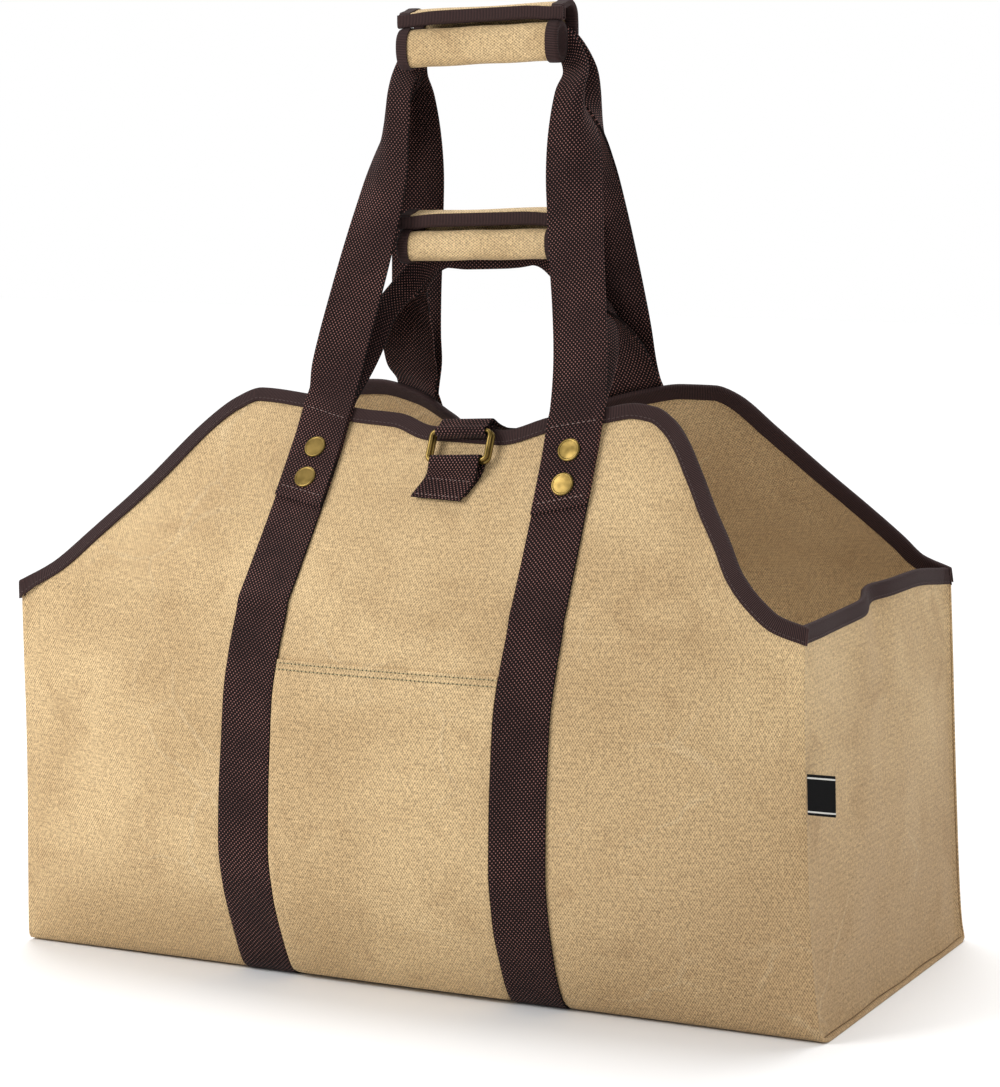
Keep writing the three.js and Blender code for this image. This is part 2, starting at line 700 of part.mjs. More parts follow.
// Flap of a grip: from its bound front edge over the webbing's top and down behind it
function flapGrid(grip) {
  const cover = foldedThickness / 2 + 2.2 * seatGap + bindingThickness + flapThickness;
  const flapRise = grip.rollHeight / 2 + flapClearance;
  const flapReach = flapRise - flapFall;
  const back = grip.y + webbingSeat + webbingStep + cover;
  const front = grip.y - rollDepth * 0.1;
  const path = [
    { y: front, z: flapReach },
    { y: front + 0.4, z: flapReach + gripBindingWidth },
    { y: THREE.MathUtils.lerp(front, back, 0.3), z: flapRise - 1 },
    { y: THREE.MathUtils.lerp(front, back, 0.65), z: flapRise },
    { y: THREE.MathUtils.lerp(front, back, 0.92), z: flapRise - 5 },
    { y: back, z: flapRise * 0.45 },
    { y: back, z: 0 },
    { y: back, z: -flapTail },
  ];
  const half = gripLength / 2;
  return path.map((p) => [-half, 0, half].map((x) => {
    const tilt = (gripTilt * x) / gripLength;
    return new THREE.Vector3(grip.x + x, p.y, grip.z + p.z + tilt);
  }));
}

// The same grid, reaching further past its four edges
function grownGrid(grid, distance) {
  const grown = grid.map((row) => row.map((p) => p.clone()));
  const rows = grid.length - 1;
  const last = grid[0].length - 1;
  const push = (p, q) => p.addScaledVector(p.clone().sub(q).normalize(), distance);
  for (let i = 0; i <= last; i += 1) {
    push(grown[0][i], grid[1][i]);
    push(grown[rows][i], grid[rows - 1][i]);
  }
  for (let j = 0; j <= rows; j += 1) {
    grown[j][0].x -= distance;
    grown[j][last].x += distance;
  }
  return grown;
}

function toManifold(geometry) {
  const bare = geometry.clone();
  bare.deleteAttribute("normal");
  const merged = mergeVertices(bare, 1e-4);
  return new wasm.Manifold(new wasm.Mesh({
    numProp: 3,
    vertProperties: new Float32Array(merged.attributes.position.array),
    triVerts: new Uint32Array(merged.index.array),
  }));
}

function fromManifold(solid) {
  const mesh = solid.getMesh();
  return orientedGeometry([...mesh.vertProperties], [...mesh.triVerts]);
}

// Binding round the flap's front edge and both its ends
function flapBindingSolid(grid, away) {
  const thick = (base, out, inward) => {
    const along = base.map((row, j) => row.map((_, i) => away[j][i]));
    return toManifold(sheetSolid(offsetGrid(base, along, out), offsetGrid(base, along, -flapThickness - inward)));
  };
  const cover = seatGap + bindingThickness;
  const clear = 2 * cover;
  const whole = thick(grownGrid(grid, cover), cover, cover);
  const cloth = thick(grownGrid(grid, seatGap), seatGap, seatGap);
  const share = gripBindingWidth / gripLength;
  const middle = grid.slice(1).map((row) => [share, 0.5, 1 - share].map((t) => row[0].clone().lerp(row[2], t)));
  const last = middle.length - 1;
  middle[last] = middle[last].map((p) => p.clone().setZ(p.z - clear));
  const along = away.slice(1);
  const window = toManifold(
    sheetSolid(offsetGrid(middle, along, clear), offsetGrid(middle, along, -flapThickness - clear))
  );
  return fromManifold(whole.subtract(window).subtract(cloth));
}

for (const [level, name] of [["long", "upper"], ["short", "lower"]]) {
  const grip = gripPlace(level);
  addPiece(`${name}_grip_roll`, "canvas", rollSolid(grip));
  addPiece(`${name}_grip_binding_left`, "binding", rollBindingSolid(grip, -1));
  addPiece(`${name}_grip_binding_right`, "binding", rollBindingSolid(grip, 1));
  const grid = flapGrid(grip);
  const away = gridNormals(grid, 1);
  addPiece(`${name}_grip_flap`, "canvas", sheetSolid(grid, offsetGrid(grid, away, -flapThickness)));
  addPiece(`${name}_flap_binding`, "binding", flapBindingSolid(grid, away));
}

// Local frame of the clasp on the outside of a panel's rim: across, out and down the cloth
function rimFrame(side, column) {
  const row = rowOf(side, 0);
  const below = rowOf(side, 2);
  const origin = outerGrid[row][column].clone();
  const out = normals[row][column].clone().normalize();
  const down = outerGrid[below][column].clone().sub(origin);
  down.addScaledVector(out, -down.dot(out)).normalize();
  const across = down.clone().cross(out).normalize();
  if (across.x < 0) {
    across.negate();
  }
  const at = (a, h, d) =>
    origin.clone().addScaledVector(across, a).addScaledVector(out, h).addScaledVector(down, d);
  return { across, at };
}

// Point over a wall's rim beside one of the clasp's three columns
function rimSpot(side, k, height, drop) {
  const column = columns.tab[k];
  const rim = outerGrid[rowOf(side, 0)][column];
  const down = outerGrid[rowOf(side, 1)][column].clone().sub(rim).normalize();
  const out = normals[rowOf(side, 0)][column].clone().normalize();
  return rim.clone().addScaledVector(out, height).addScaledVector(down, drop);
}

// Point at a height over a wall's cloth, at a place across from the clasp and a drop below the rim
function clothSpot(side, a, height, drop) {
  const column = columns.tab[1];
  const gridRow = (j) => rowOf(side, j);
  let j = 0;
  let left = drop;
  const step = (k) => outerGrid[gridRow(k)][column].distanceTo(outerGrid[gridRow(k + 1)][column]);
  while (j < panel.wallRows - 2 && left > step(j)) {
    left -= step(j);
    j += 1;
  }
  const share = left / step(j);
  const x = outerGrid[gridRow(j)][column].x + a;
  let i = 0;
  while (i < lastColumn - 1 && outerGrid[gridRow(j)][i + 1].x < x) {
    i += 1;
  }
  const [p, q] = [outerGrid[gridRow(j)][i], outerGrid[gridRow(j)][i + 1]];
  const across = (x - p.x) / (q.x - p.x);
  const blend = (grid) => {
    const upper = grid[gridRow(j)][i].clone().lerp(grid[gridRow(j)][i + 1], across);
    const lower = grid[gridRow(j + 1)][i].clone().lerp(grid[gridRow(j + 1)][i + 1], across);
    return upper.lerp(lower, share);
  };
  return blend(outerGrid).addScaledVector(blend(normals), height);
}

const claspFrame = rimFrame(-1, columns.tab[1]);
const wireRadius = ringWire / 2;
const looseSeat = 3 * seatGap;
const webbingMiddle = webbingThickness / 2;
const strapUnder = seatGap + bindingThickness + looseSeat + webbingMiddle;
const upperBarOut = strapUnder + webbingMiddle + seatGap + wireRadius;
const lowerBarOut = looseSeat + webbingThickness + seatGap + wireRadius;
const upperBarDrop = ringDrop - ringHeight / 2 + wireRadius;
const lowerBarDrop = ringDrop + ringHeight / 2 - wireRadius;

// Rectangular brass ring, a bent round wire
function ringSolid(index) {
  const wide = ringWidth / 2 - wireRadius;
  const tall = ringHeight / 2 - wireRadius;
  const outline = [];
  const cornerSteps = 3;
  for (let quarter = 0; quarter < 4; quarter += 1) {
    const sx = quarter === 0 || quarter === 3 ? 1 : -1;
    const sy = quarter < 2 ? 1 : -1;
    for (let k = 0; k <= cornerSteps; k += 1) {
      const angle = (Math.PI / 2) * (quarter + k / cornerSteps);
      outline.push([
        sx * (wide - ringCorner) + ringCorner * Math.cos(angle),
        sy * (tall - ringCorner) + ringCorner * Math.sin(angle),
      ]);
    }
  }
  const tilt = (upperBarOut - lowerBarOut) / (lowerBarDrop - upperBarDrop);
  const place = ([a, b]) =>
    claspFrame.at(a, (upperBarOut + lowerBarOut) / 2 + b * tilt + index * ringSpacing, ringDrop - b);
  const centre = outline.map(place);
  const sides = 6;
  const count = centre.length;
  const plane = new THREE.Vector3()
    .crossVectors(centre[4].clone().sub(centre[0]), centre[8].clone().sub(centre[0]))
    .normalize();
  const points = [];
  const faces = [];
  centre.forEach((p, k) => {
    const along = centre[(k + 1) % count].clone().sub(centre[(k + count - 1) % count]).normalize();
    const sideways = along.clone().cross(plane);
    for (let s = 0; s < sides; s += 1) {
      const angle = (2 * Math.PI * (s + 0.5)) / sides;
      const q = p.clone().addScaledVector(plane, wireRadius * Math.cos(angle));
      q.addScaledVector(sideways, wireRadius * Math.sin(angle));
      points.push(q.x, q.y, q.z);
      const t = (s + 1) % sides;
      const next = (k + 1) % count;
      faces.push(k * sides + s, k * sides + t, next * sides + t);
      faces.push(k * sides + s, next * sides + t, next * sides + s);
    }
  });
  return orientedGeometry(points, faces);
}
addPiece("clasp_ring_inner", "brass", ringSolid(0));
addPiece("clasp_ring_outer", "brass", ringSolid(1));

// Ribbon of webbing through a list of sections: three points each, along the ribbon's middle surface
function ribbonSolid(path) {
  const last = path.length - 1;
  const side = (k, s) => {
    const point = path[k][s];
    const across = path[k][2].clone().sub(path[k][0]);
    const into = point.clone().sub(path[Math.max(k - 1, 0)][s]);
    const onward = path[Math.min(k + 1, last)][s].clone().sub(point);
    const first = (k > 0 ? into : onward).clone().cross(across).normalize();
    const second = (k < last ? onward : into).clone().cross(across).normalize();
    const facing = first.clone().add(second).normalize();
    return facing.divideScalar(clamp(facing.dot(first), 0.6, 1));
  };
  const at = (distance) =>
    path.map((section, k) => section.map((point, s) => point.clone().addScaledVector(side(k, s), distance)));
  return sheetSolid(at(webbingMiddle), at(-webbingMiddle));
}

// Points of a half turn round the two stacked bars, from the cloth outward.
// turn: -1 passes over the bars, 1 passes under them
function barTurn(out, drop, turn) {
  const reach = wireRadius + seatGap + webbingMiddle;
  const points = [];
  for (const [angle, bar] of [[0, 0], [30, 0], [60, 0], [90, 0], [90, 1], [120, 1], [150, 1], [180, 1]]) {
    const radians = (angle * Math.PI) / 180;
    const h = out + bar * ringSpacing - reach * Math.cos(radians);
    const d = drop + turn * reach * Math.sin(radians);
    points.push([h, d]);
  }
  return points;
}

const acrossTab = [-tabWidth / 2, 0, tabWidth / 2];

// Tab sewn to the front: up the panel, through both rings and back down over itself
function tabSolid() {
  const under = looseSeat + webbingMiddle;
  const over = under + webbingThickness + seatGap;
  const slide = (d) => -tabSlant * Math.max(d - lowerBarDrop - 4, 0);
  const loose = ([h, d]) => acrossTab.map((a) => claspFrame.at(a + slide(d), h, d));
  const sewn = ([h, d]) => acrossTab.map((a) => clothSpot(-1, a + slide(d), h, d));
  return ribbonSolid([
    sewn([under, lowerBarDrop + tabLength - 4]),
    sewn([under, lowerBarDrop + 18]),
    sewn([under, lowerBarDrop + 8]),
    ...barTurn(lowerBarOut, lowerBarDrop, -1).map(loose),
    loose([lowerBarOut + ringSpacing + 1, lowerBarDrop + 5]),
    sewn([over + 0.8, lowerBarDrop + 11]),
    sewn([over, lowerBarDrop + 17]),
    sewn([over, lowerBarDrop + tabLength]),
  ]);
}
addPiece("clasp_tab", "webbing", tabSolid());

// Security strap: from the outside of the back over both rims, through both rings and back
function securityStrapSolid() {
  const rimTop = seatGap + bindingThickness + looseSeat + webbingMiddle;
  const layer = webbingThickness + seatGap;
  const front = (h, d) => acrossTab.map((a) => claspFrame.at(a, h, d));
  const frontRimAt = (h, d) => acrossTab.map((_, k) => rimSpot(-1, k, h, d));
  const back = (h, d) => acrossTab.map((_, k) => rimSpot(1, k, h, d));
  const sewn = (h, d) => acrossTab.map((a) => clothSpot(1, a, h, d));
  const topBar = upperBarOut + ringSpacing;
  const reach = wireRadius + seatGap + webbingMiddle;
  const overFront = front(-12, -rimTop - layer - 2);
  const overBack = back(-clothThickness - 4, -rimTop - 1);
  const bridge = overFront.map((p, k) => p.clone().lerp(overBack[k], 0.5).add(new THREE.Vector3(0, 0, 1)));
  return ribbonSolid([
    frontRimAt(-9, -rimTop - 0.9),
    frontRimAt(-3, -rimTop - 0.4),
    frontRimAt(strapUnder - 0.6, -rimTop + 0.2),
    frontRimAt(strapUnder, 1),
    ...barTurn(upperBarOut, upperBarDrop, 1).map(([h, d]) => front(h, d)),
    front(topBar + reach * 0.86, upperBarDrop - reach * 0.7),
    front(topBar, upperBarDrop - reach * 1.15),
    front(upperBarOut, -rimTop - layer),
    front(-2, -rimTop - layer - 0.4),
    overFront,
    bridge,
    overBack,
    back(-1, -rimTop - 0.4),
    back(rimTop - 0.5, -rimTop + 0.2),
    back(rimTop + 0.1, bindingWidth * 0.3),
    sewn(rimTop, bindingWidth * 1.15),
    sewn(looseSeat + webbingMiddle, securityTail * 0.5),
    sewn(looseSeat + webbingMiddle, securityTail),
  ]);
}
addPiece("security_strap", "webbing", securityStrapSolid());

// Rivet caps on each handle box
function rivetSolid(side, picked, middleDrop) {
  const drop = middleDrop - (picked === columns.right ? boxSkew : -boxSkew);
  const sections = sewnSections(side, picked, 2).slice(0, -1);
  const rim = sections[sections.length - 1].outer[2];
  let point = rim;
  let along = new THREE.Vector3();
  for (let k = sections.length - 1; k > 0; k -= 1) {
    const upper = sections[k].outer[2];
    const lower = sections[k - 1].outer[2];
    const from = rim.distanceTo(upper);
    const to = rim.distanceTo(lower);
    if (drop >= from && drop <= to) {
      point = upper.clone().lerp(lower, (drop - from) / (to - from));
      along = lower.clone().sub(upper).normalize();
    }
  }
  const width = sections[1].outer[4].clone().sub(sections[1].outer[0]).normalize();
  const out = along.clone().cross(width).normalize();
  if (out.y * side < 0) {
    out.negate();
  }
  const rimRound = rivetHeight * 0.35;
  const profile = [
    [0, 0],
    [rivetRadius - 0.4, 0],
    [rivetRadius, rimRound],
    [rivetRadius - 0.6, rimRound * 1.9],
    [rivetRadius * 0.5, rivetHeight * 0.93],
    [0, rivetHeight],
  ].map(([r, h]) => new THREE.Vector2(r, h));
  const geometry = new THREE.LatheGeometry(profile, 12);
  geometry.deleteAttribute("normal");
  geometry.deleteAttribute("uv");
  const merged = mergeVertices(geometry, 1e-4);
  const turned = new THREE.Quaternion().setFromUnitVectors(new THREE.Vector3(0, 1, 0), out);
  merged.applyQuaternion(turned);
  const seat = point.clone().addScaledVector(out, seatGap * 1.5);
  merged.translate(seat.x, seat.y, seat.z);
  return closedFaces(merged);
}

// Drops the empty faces that a lathe leaves on its axis
function closedFaces(geometry) {
  const index = geometry.index.array;
  const faces = [];
  for (let k = 0; k < index.length; k += 3) {
    const [a, b, c] = [index[k], index[k + 1], index[k + 2]];
    if (a !== b && b !== c && c !== a) {
      faces.push(a, b, c);
    }
  }
  return orientedGeometry([...geometry.attributes.position.array], faces);
}

for (const [side, face] of [[-1, "front"], [1, "back"]]) {
  for (const [picked, hand] of [[columns.left, "left"], [columns.right, "right"]]) {
    addPiece(`rivet_${face}_${hand}_upper`, "brass", rivetSolid(side, picked, upperRivetDrop));
    addPiece(`rivet_${face}_${hand}_lower`, "brass", rivetSolid(side, picked, lowerRivetDrop));
  }
}

// Plain woven label held in the front right corner seam, standing out along the front
function labelSolid() {
  const columnPoints = rangeOf(0, panel.wallRows - 1).map((j) => ({
    outer: outerGrid[j][lastColumn],
    inner: innerGrid[j][lastColumn],
  }));
  const seamAt = (z) => {
    const k = columnPoints.findIndex((p) => p.outer.z <= z);
    const above = columnPoints[k - 1];
    const below = columnPoints[k];
    const t = (above.outer.z - z) / (above.outer.z - below.outer.z);
    const outer = above.outer.clone().lerp(below.outer, t);
    const inner = above.inner.clone().lerp(below.inner, t);
    return outer.lerp(inner, 0.5);
  };
  const rows = [0.5, 0, -0.5].map((share) => seamAt(labelPlace + share * labelHeight));
  const at = (offset) =>
    rows.map((p) => [seatGap, labelWidth / 2, labelWidth].map((reach) =>
      new THREE.Vector3(p.x + reach, p.y + offset + reach * 0.06, p.z)
    ));
  return sheetSolid(at(-labelThickness / 2), at(labelThickness / 2));
}
addPiece("side_label", "label", labelSolid());

// The origin is the middle of the whole carrier's box, on the surface that it stands on
const bounds = new THREE.Box3().setFromObject(group);
const middle = bounds.getCenter(new THREE.Vector3());
group.position.set(-middle.x, -middle.y, -bounds.min.z);

export default group;
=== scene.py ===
import math
import bpy
import numpy as np
from mathutils import Matrix, Vector


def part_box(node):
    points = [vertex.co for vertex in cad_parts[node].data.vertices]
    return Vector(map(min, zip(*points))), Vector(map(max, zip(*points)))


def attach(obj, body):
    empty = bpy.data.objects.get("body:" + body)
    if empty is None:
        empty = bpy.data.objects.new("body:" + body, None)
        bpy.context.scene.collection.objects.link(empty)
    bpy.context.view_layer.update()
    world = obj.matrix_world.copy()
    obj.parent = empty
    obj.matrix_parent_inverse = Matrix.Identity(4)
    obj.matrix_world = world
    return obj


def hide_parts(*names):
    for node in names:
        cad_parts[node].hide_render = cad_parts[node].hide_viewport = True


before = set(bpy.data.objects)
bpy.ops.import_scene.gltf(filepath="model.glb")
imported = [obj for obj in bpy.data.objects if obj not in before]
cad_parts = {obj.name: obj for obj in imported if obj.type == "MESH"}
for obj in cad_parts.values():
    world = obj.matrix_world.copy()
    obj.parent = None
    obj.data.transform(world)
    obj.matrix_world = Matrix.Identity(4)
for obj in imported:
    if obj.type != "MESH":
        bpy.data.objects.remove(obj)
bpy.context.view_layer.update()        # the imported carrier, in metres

print("scene: frame loaded")

# The bag's own shape, in millimetres, as the frame has it
bag = {
    "halfLength": 290.0,
    "halfDepth": 141.5,
    "wallHeight": 249.0,
    "rise": 133.0,
    "belly": 33.0,
    "cornerBulge": 4.0,
    "endLean": 16.0,
    "farEndBow": 4.0,
    "cloth": 2.0,
    "gap": 0.3,
}
strapLines = {"middle": 98.0, "half": 19.0, "thickness": 1.6, "lift": 1.9}
hands = (("left", -1), ("right", 1))
faces = (("front", -1), ("back", 1))

# Rim of the front wall: place along, share of the rise, lean, sideways share
frontRim = [
    (-1, 0, 0.6, 0), (-0.924, 0.1, 0.66, 0), (-0.854, 0.26, 0.7, 0), (-0.759, 0.49, 0.7, 0),
    (-0.667, 0.755, 0.7, 0), (-0.6, 0.915, 0.69, 0.012), (-0.538, 0.97, 0.69, 0.012),
    (-0.416, 0.95, 0.69, 0.012), (-0.255, 0.89, 0.67, 0.012), (-0.149, 0.88, 0.64, 0.012),
    (-0.032, 0.83, 0.6, 0), (0.148, 0.83, 0.53, 0), (0.271, 0.905, 0.48, 0), (0.404, 0.96, 0.46, 0),
    (0.47, 0.985, 0.46, 0), (0.525, 0.97, 0.46, 0), (0.572, 0.915, 0.46, 0), (0.611, 0.835, 0.45, 0),
    (0.656, 0.7, 0.45, 0), (0.708, 0.54, 0.43, 0), (0.758, 0.41, 0.38, 0), (0.808, 0.27, 0.3, 0),
    (0.869, 0.155, 0.25, 0), (0.93, 0.08, 0.2, 0), (1, 0.045, 0.2, 0),
]
backRim = [
    (-1, 0.04, 0.5, 0), (-0.92, 0.11, 0.52, 0), (-0.85, 0.24, 0.54, 0), (-0.76, 0.46, 0.56, 0),
    (-0.67, 0.7, 0.58, 0.01), (-0.6, 0.86, 0.6, 0.02), (-0.53, 0.95, 0.62, 0.03),
    (-0.45, 0.965, 0.66, 0.04), (-0.338, 0.925, 0.76, 0.041), (-0.2, 0.82, 1.05, 0.038),
    (-0.09, 0.75, 1.35, 0.025),
    (0.04, 0.735, 1.46, 0.005), (0.17, 0.81, 1.25, -0.01), (0.264, 0.93, 1.02, -0.02),
    (0.376, 0.995, 0.92, -0.02), (0.446, 1.02, 0.88, -0.015), (0.518, 1.015, 0.83, -0.01),
    (0.557, 0.96, 0.8, 0), (0.616, 0.8, 0.75, 0), (0.711, 0.565, 0.68, 0), (0.79, 0.395, 0.62, 0),
    (0.875, 0.22, 0.55, 0), (0.923, 0.12, 0.5, 0), (1, 0.06, 0.4, 0),
]
wallBulge = [
    (0, 0), (0.06, 0.28), (0.13, 0.53), (0.25, 0.85), (0.37, 1), (0.5, 0.98), (0.64, 0.9),
    (0.76, 0.8), (0.88, 0.52), (1, 0.16), (1.1, 0.09), (1.2, 0.04), (1.32, 0), (2, 0),
]
endRim = [(-1, 0), (-0.6, 0), (-0.25, 0.006), (-0.08, 0.016), (0.05, 0.026), (0.45, 0.03), (1, 0)]

# Soft folds in the walls: side, from x z, to x z, width and height, in millimetres
wallFolds = [
    (-1, -212, 330, -252, 225, 13, 1.3),
    (-1, -225, 300, -236, 215, 8, -0.9),
    (-1, -150, 340, -170, 235, 15, 1.2),
    (-1, 30, 330, 62, 250, 16, 1.0),
    (-1, 160, 350, 196, 240, 15, 1.2),
    (-1, 232, 120, 276, 62, 12, 1.3),
    (-1, 205, 74, 270, 38, 10, -1.1),
    (-1, -262, 60, -205, 30, 12, 1.0),
    (-1, 60, 62, 120, 24, 12, 0.9),
    (1, -180, 330, -220, 230, 15, 1.6),
    (1, 40, 300, 70, 200, 18, 1.5),
    (1, 190, 330, 230, 220, 15, 1.5),
    (1, -240, 90, -180, 40, 13, 1.3),
]


def unit(vectors):
    return vectors / np.linalg.norm(vectors, axis=-1, keepdims=True)


def runAlong(line):
    # length along a line of points, from its start
    return np.concatenate([[0], np.cumsum(np.linalg.norm(np.diff(line, axis=0), axis=1))])


def pointAt(line, run, spot):
    return np.stack([np.interp(spot, run, line[:, k]) for k in range(3)], -1)


def hermite(t, span, ends, slopes):
    value = (2 * t**3 - 3 * t**2 + 1) * ends[0] + (3 * t**2 - 2 * t**3) * ends[1]
    return value + span * ((t**3 - 2 * t**2 + t) * slopes[0] + (t**3 - t**2) * slopes[1])


def monotone(table, column, at):
    # smooth value of one column, with no overshoot between rows
    keys = np.array([row[0] for row in table], float)
    values = np.array([row[column] for row in table], float)
    rates = np.diff(values) / np.diff(keys)
    slopes = np.zeros(len(keys))
    slopes[0], slopes[-1] = rates[0], rates[-1]
    product = rates[:-1] * rates[1:]
    total = rates[:-1] + rates[1:]
    slopes[1:-1] = np.where(product > 0, 2 * product / np.where(total == 0, 1, total), 0)
    place = np.clip(at, keys[0], keys[-1])
    i = np.clip(np.searchsorted(keys, place, side="left") - 1, 0, len(keys) - 2)
    span = keys[i + 1] - keys[i]
    t = (place - keys[i]) / span
    return hermite(t, span, (values[i], values[i + 1]), (slopes[i], slopes[i + 1]))


def softWaves(x, z, size, seed):
    # smooth, repeatable unevenness between about -1 and 1
    wheel = np.random.default_rng(seed)
    total, waves = 0, 9
    for _ in range(waves):
        angle = wheel.uniform(0, math.tau)
        stretch = wheel.uniform(0.6, 1.5)
        total = total + np.sin((x * math.cos(angle) + z * math.sin(angle)) * math.tau * stretch / size
                               + wheel.uniform(0, math.tau))
    return total / (waves / 2)


def smoothStep(low, high, value):
    t = np.clip((value - low) / (high - low), 0, 1)
    return t * t * (3 - 2 * t)


def baseLift(u):
    away = np.abs(np.abs(u) * bag["halfLength"] - strapLines["middle"])
    return strapLines["lift"] * (1 - smoothStep(strapLines["half"] - 1, strapLines["half"] + 3, away))


def rimHeight(u, side):
    return bag["wallHeight"] + bag["rise"] * monotone(frontRim if side < 0 else backRim, 1, u)


def clothRipple(u, side, z):
    # what the cloth does between its seams: drawn in under the straps, loose between them
    x = u * bag["halfLength"]
    height = z / bag["wallHeight"]
    fade = smoothStep(0, 0.12, height) * (1 - 0.45 * smoothStep(0.9, 1.3, height))
    pinch = -1.5 * np.exp(-(((np.abs(x) - strapLines["middle"]) / 30) ** 2))
    loose = 1.1 * softWaves(x, z, 210, 11 + side) + 0.5 * softWaves(x, z * 0.6, 90, 23 + side)
    total = fade * (pinch + loose * (1 - 0.75 * np.exp(-(((np.abs(u) - 1) / 0.05) ** 2))))
    for where, x0, z0, x1, z1, width, rise in wallFolds:
        if where != side:
            continue
        run = np.array([x1 - x0, z1 - z0], float)
        share = np.clip(((x - x0) * run[0] + (z - z0) * run[1]) / run.dot(run), 0, 1)
        gap = np.hypot(x - x0 - share * run[0], z - z0 - share * run[1])
        total = total + rise * np.exp(-((gap / width) ** 2)) * (0.35 + 0.65 * np.sin(math.pi * share))
    return total


def wallPoint(u, side, z):
    rim = frontRim if side < 0 else backRim
    u = np.broadcast_to(np.asarray(u, float), np.shape(z))
    overWall = np.maximum(z - bag["wallHeight"], 0)
    roof = overWall / np.maximum(rimHeight(u, side) - bag["wallHeight"], 1)
    belly = bag["cornerBulge"] + bag["belly"] * (1 - u * u)
    bulge = belly * monotone(wallBulge, 1, z / bag["wallHeight"]) + clothRipple(u, side, z)
    lean = monotone(rim, 2, u) * overWall
    shift = monotone(rim, 3, u) * bag["halfLength"] * roof
    share = np.clip(z / bag["wallHeight"], 0, 1)
    near = bag["endLean"] * np.maximum(u, 0) ** 4 * np.sqrt(share)
    far = bag["farEndBow"] * np.maximum(-u, 0) ** 4 * np.sin(math.pi * share)
    lift = baseLift(u) * (1 - share)
    x = u * bag["halfLength"] - near + far + shift
    return np.stack([x, side * (bag["halfDepth"] + bulge - lean), z + lift], -1)


columnMake = {"wallSteps": 170, "baseSteps": 130, "roundings": 14, "roundReach": 7}


def panelColumn(u):
    # one line over the whole bag: front rim, base, back rim
    steps, across = columnMake["wallSteps"], columnMake["baseSteps"]
    front = wallPoint(u, -1, np.linspace(rimHeight(u, -1), 0, steps + 1))
    back = wallPoint(u, 1, np.linspace(0, rimHeight(u, 1), steps + 1))
    y = np.linspace(-bag["halfDepth"], bag["halfDepth"], across + 1)[1:-1]
    base = np.stack([np.full_like(y, u * bag["halfLength"]), y, np.full_like(y, baseLift(u))], -1)
    line = np.concatenate([front, base, back])
    reach = columnMake["roundReach"]
    for corner in (steps, steps + across):
        for _ in range(columnMake["roundings"]):        # the lower edges are rounded, not creased
            part = line[corner - reach:corner + reach + 1]
            part[1:-1] = 0.5 * part[1:-1] + 0.25 * (part[:-2] + part[2:])
    run = runAlong(line)
    return {"line": line, "run": run, "corners": (run[steps], run[steps + across])}


keptColumns = {}


def columnAt(u):
    key = round(float(u), 6)
    if key not in keptColumns:
        keptColumns[key] = panelColumn(key)
    return keptColumns[key]


def alongColumn(column, spot):
    return pointAt(column["line"], column["run"], spot)


def frontRun(column, height):
    # length from the front rim down to a height
    count = columnMake["wallSteps"] + 1
    return float(np.interp(-height, -column["line"][:count, 2], column["run"][:count]))


def panelGrid(us, stations):
    # stations: 0 front rim, 1 front lower edge, 2 back lower edge, 3 back rim
    points, seams = [], []
    for u in us:
        column = columnAt(u)
        run = np.interp(stations, [0, 1, 2, 3], [0, *column["corners"], column["run"][-1]])
        points.append(alongColumn(column, run))
        seams.append(run - column["corners"][0])
    points = np.stack(points, 1)
    flat = np.broadcast_to(np.asarray(us) * bag["halfLength"], points.shape[:2])
    return points, np.stack([flat, np.stack(seams, 1)], -1)


def gridNormals(points):
    return unit(np.cross(np.gradient(points, axis=1), np.gradient(points, axis=0)))


def dropPoint(side, u, drop):
    # place on a wall at a drop below its rim
    column = columnAt(min(max(u, -1), 1))
    return alongColumn(column, drop if side < 0 else column["run"][-1] - drop)


def clothSpot(side, u, drop):
    # the same place, with the cloth's directions down and out
    down = unit(dropPoint(side, u, drop + 1.5) - dropPoint(side, u, drop - 1.5))
    across = dropPoint(side, u + 0.01, drop) - dropPoint(side, u - 0.01, drop)
    out = unit(np.cross(across, down) * side)
    return dropPoint(side, u, drop), down, (-out if out[1] * side < 0 else out)


# Where the frame puts the bag's own origin, in metres
panelBox = np.array(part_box("main_panel"), float)
placeShift = np.array([panelBox[0][0] + 0.290, (panelBox[0][1] + panelBox[1][1]) / 2, 0.0])
print("scene: bag placed at", [round(float(v), 5) for v in placeShift])


def inFrame(points):
    return np.asarray(points, float) * 0.001 + placeShift


def deselectAll():
    if bpy.context.object and bpy.context.object.mode != "OBJECT":
        bpy.ops.object.mode_set(mode="OBJECT")
    bpy.ops.object.select_all(action="DESELECT")


def makeActive(piece):
    deselectAll()
    piece.select_set(True)
    bpy.context.view_layer.objects.active = piece

def editAll():
    bpy.ops.object.mode_set(mode="EDIT")
    bpy.ops.mesh.select_all(action="SELECT")


def endEdit():
    bpy.ops.object.mode_set(mode="OBJECT")


def mergeSpots():
    bpy.ops.mesh.remove_doubles(threshold=0.00001)


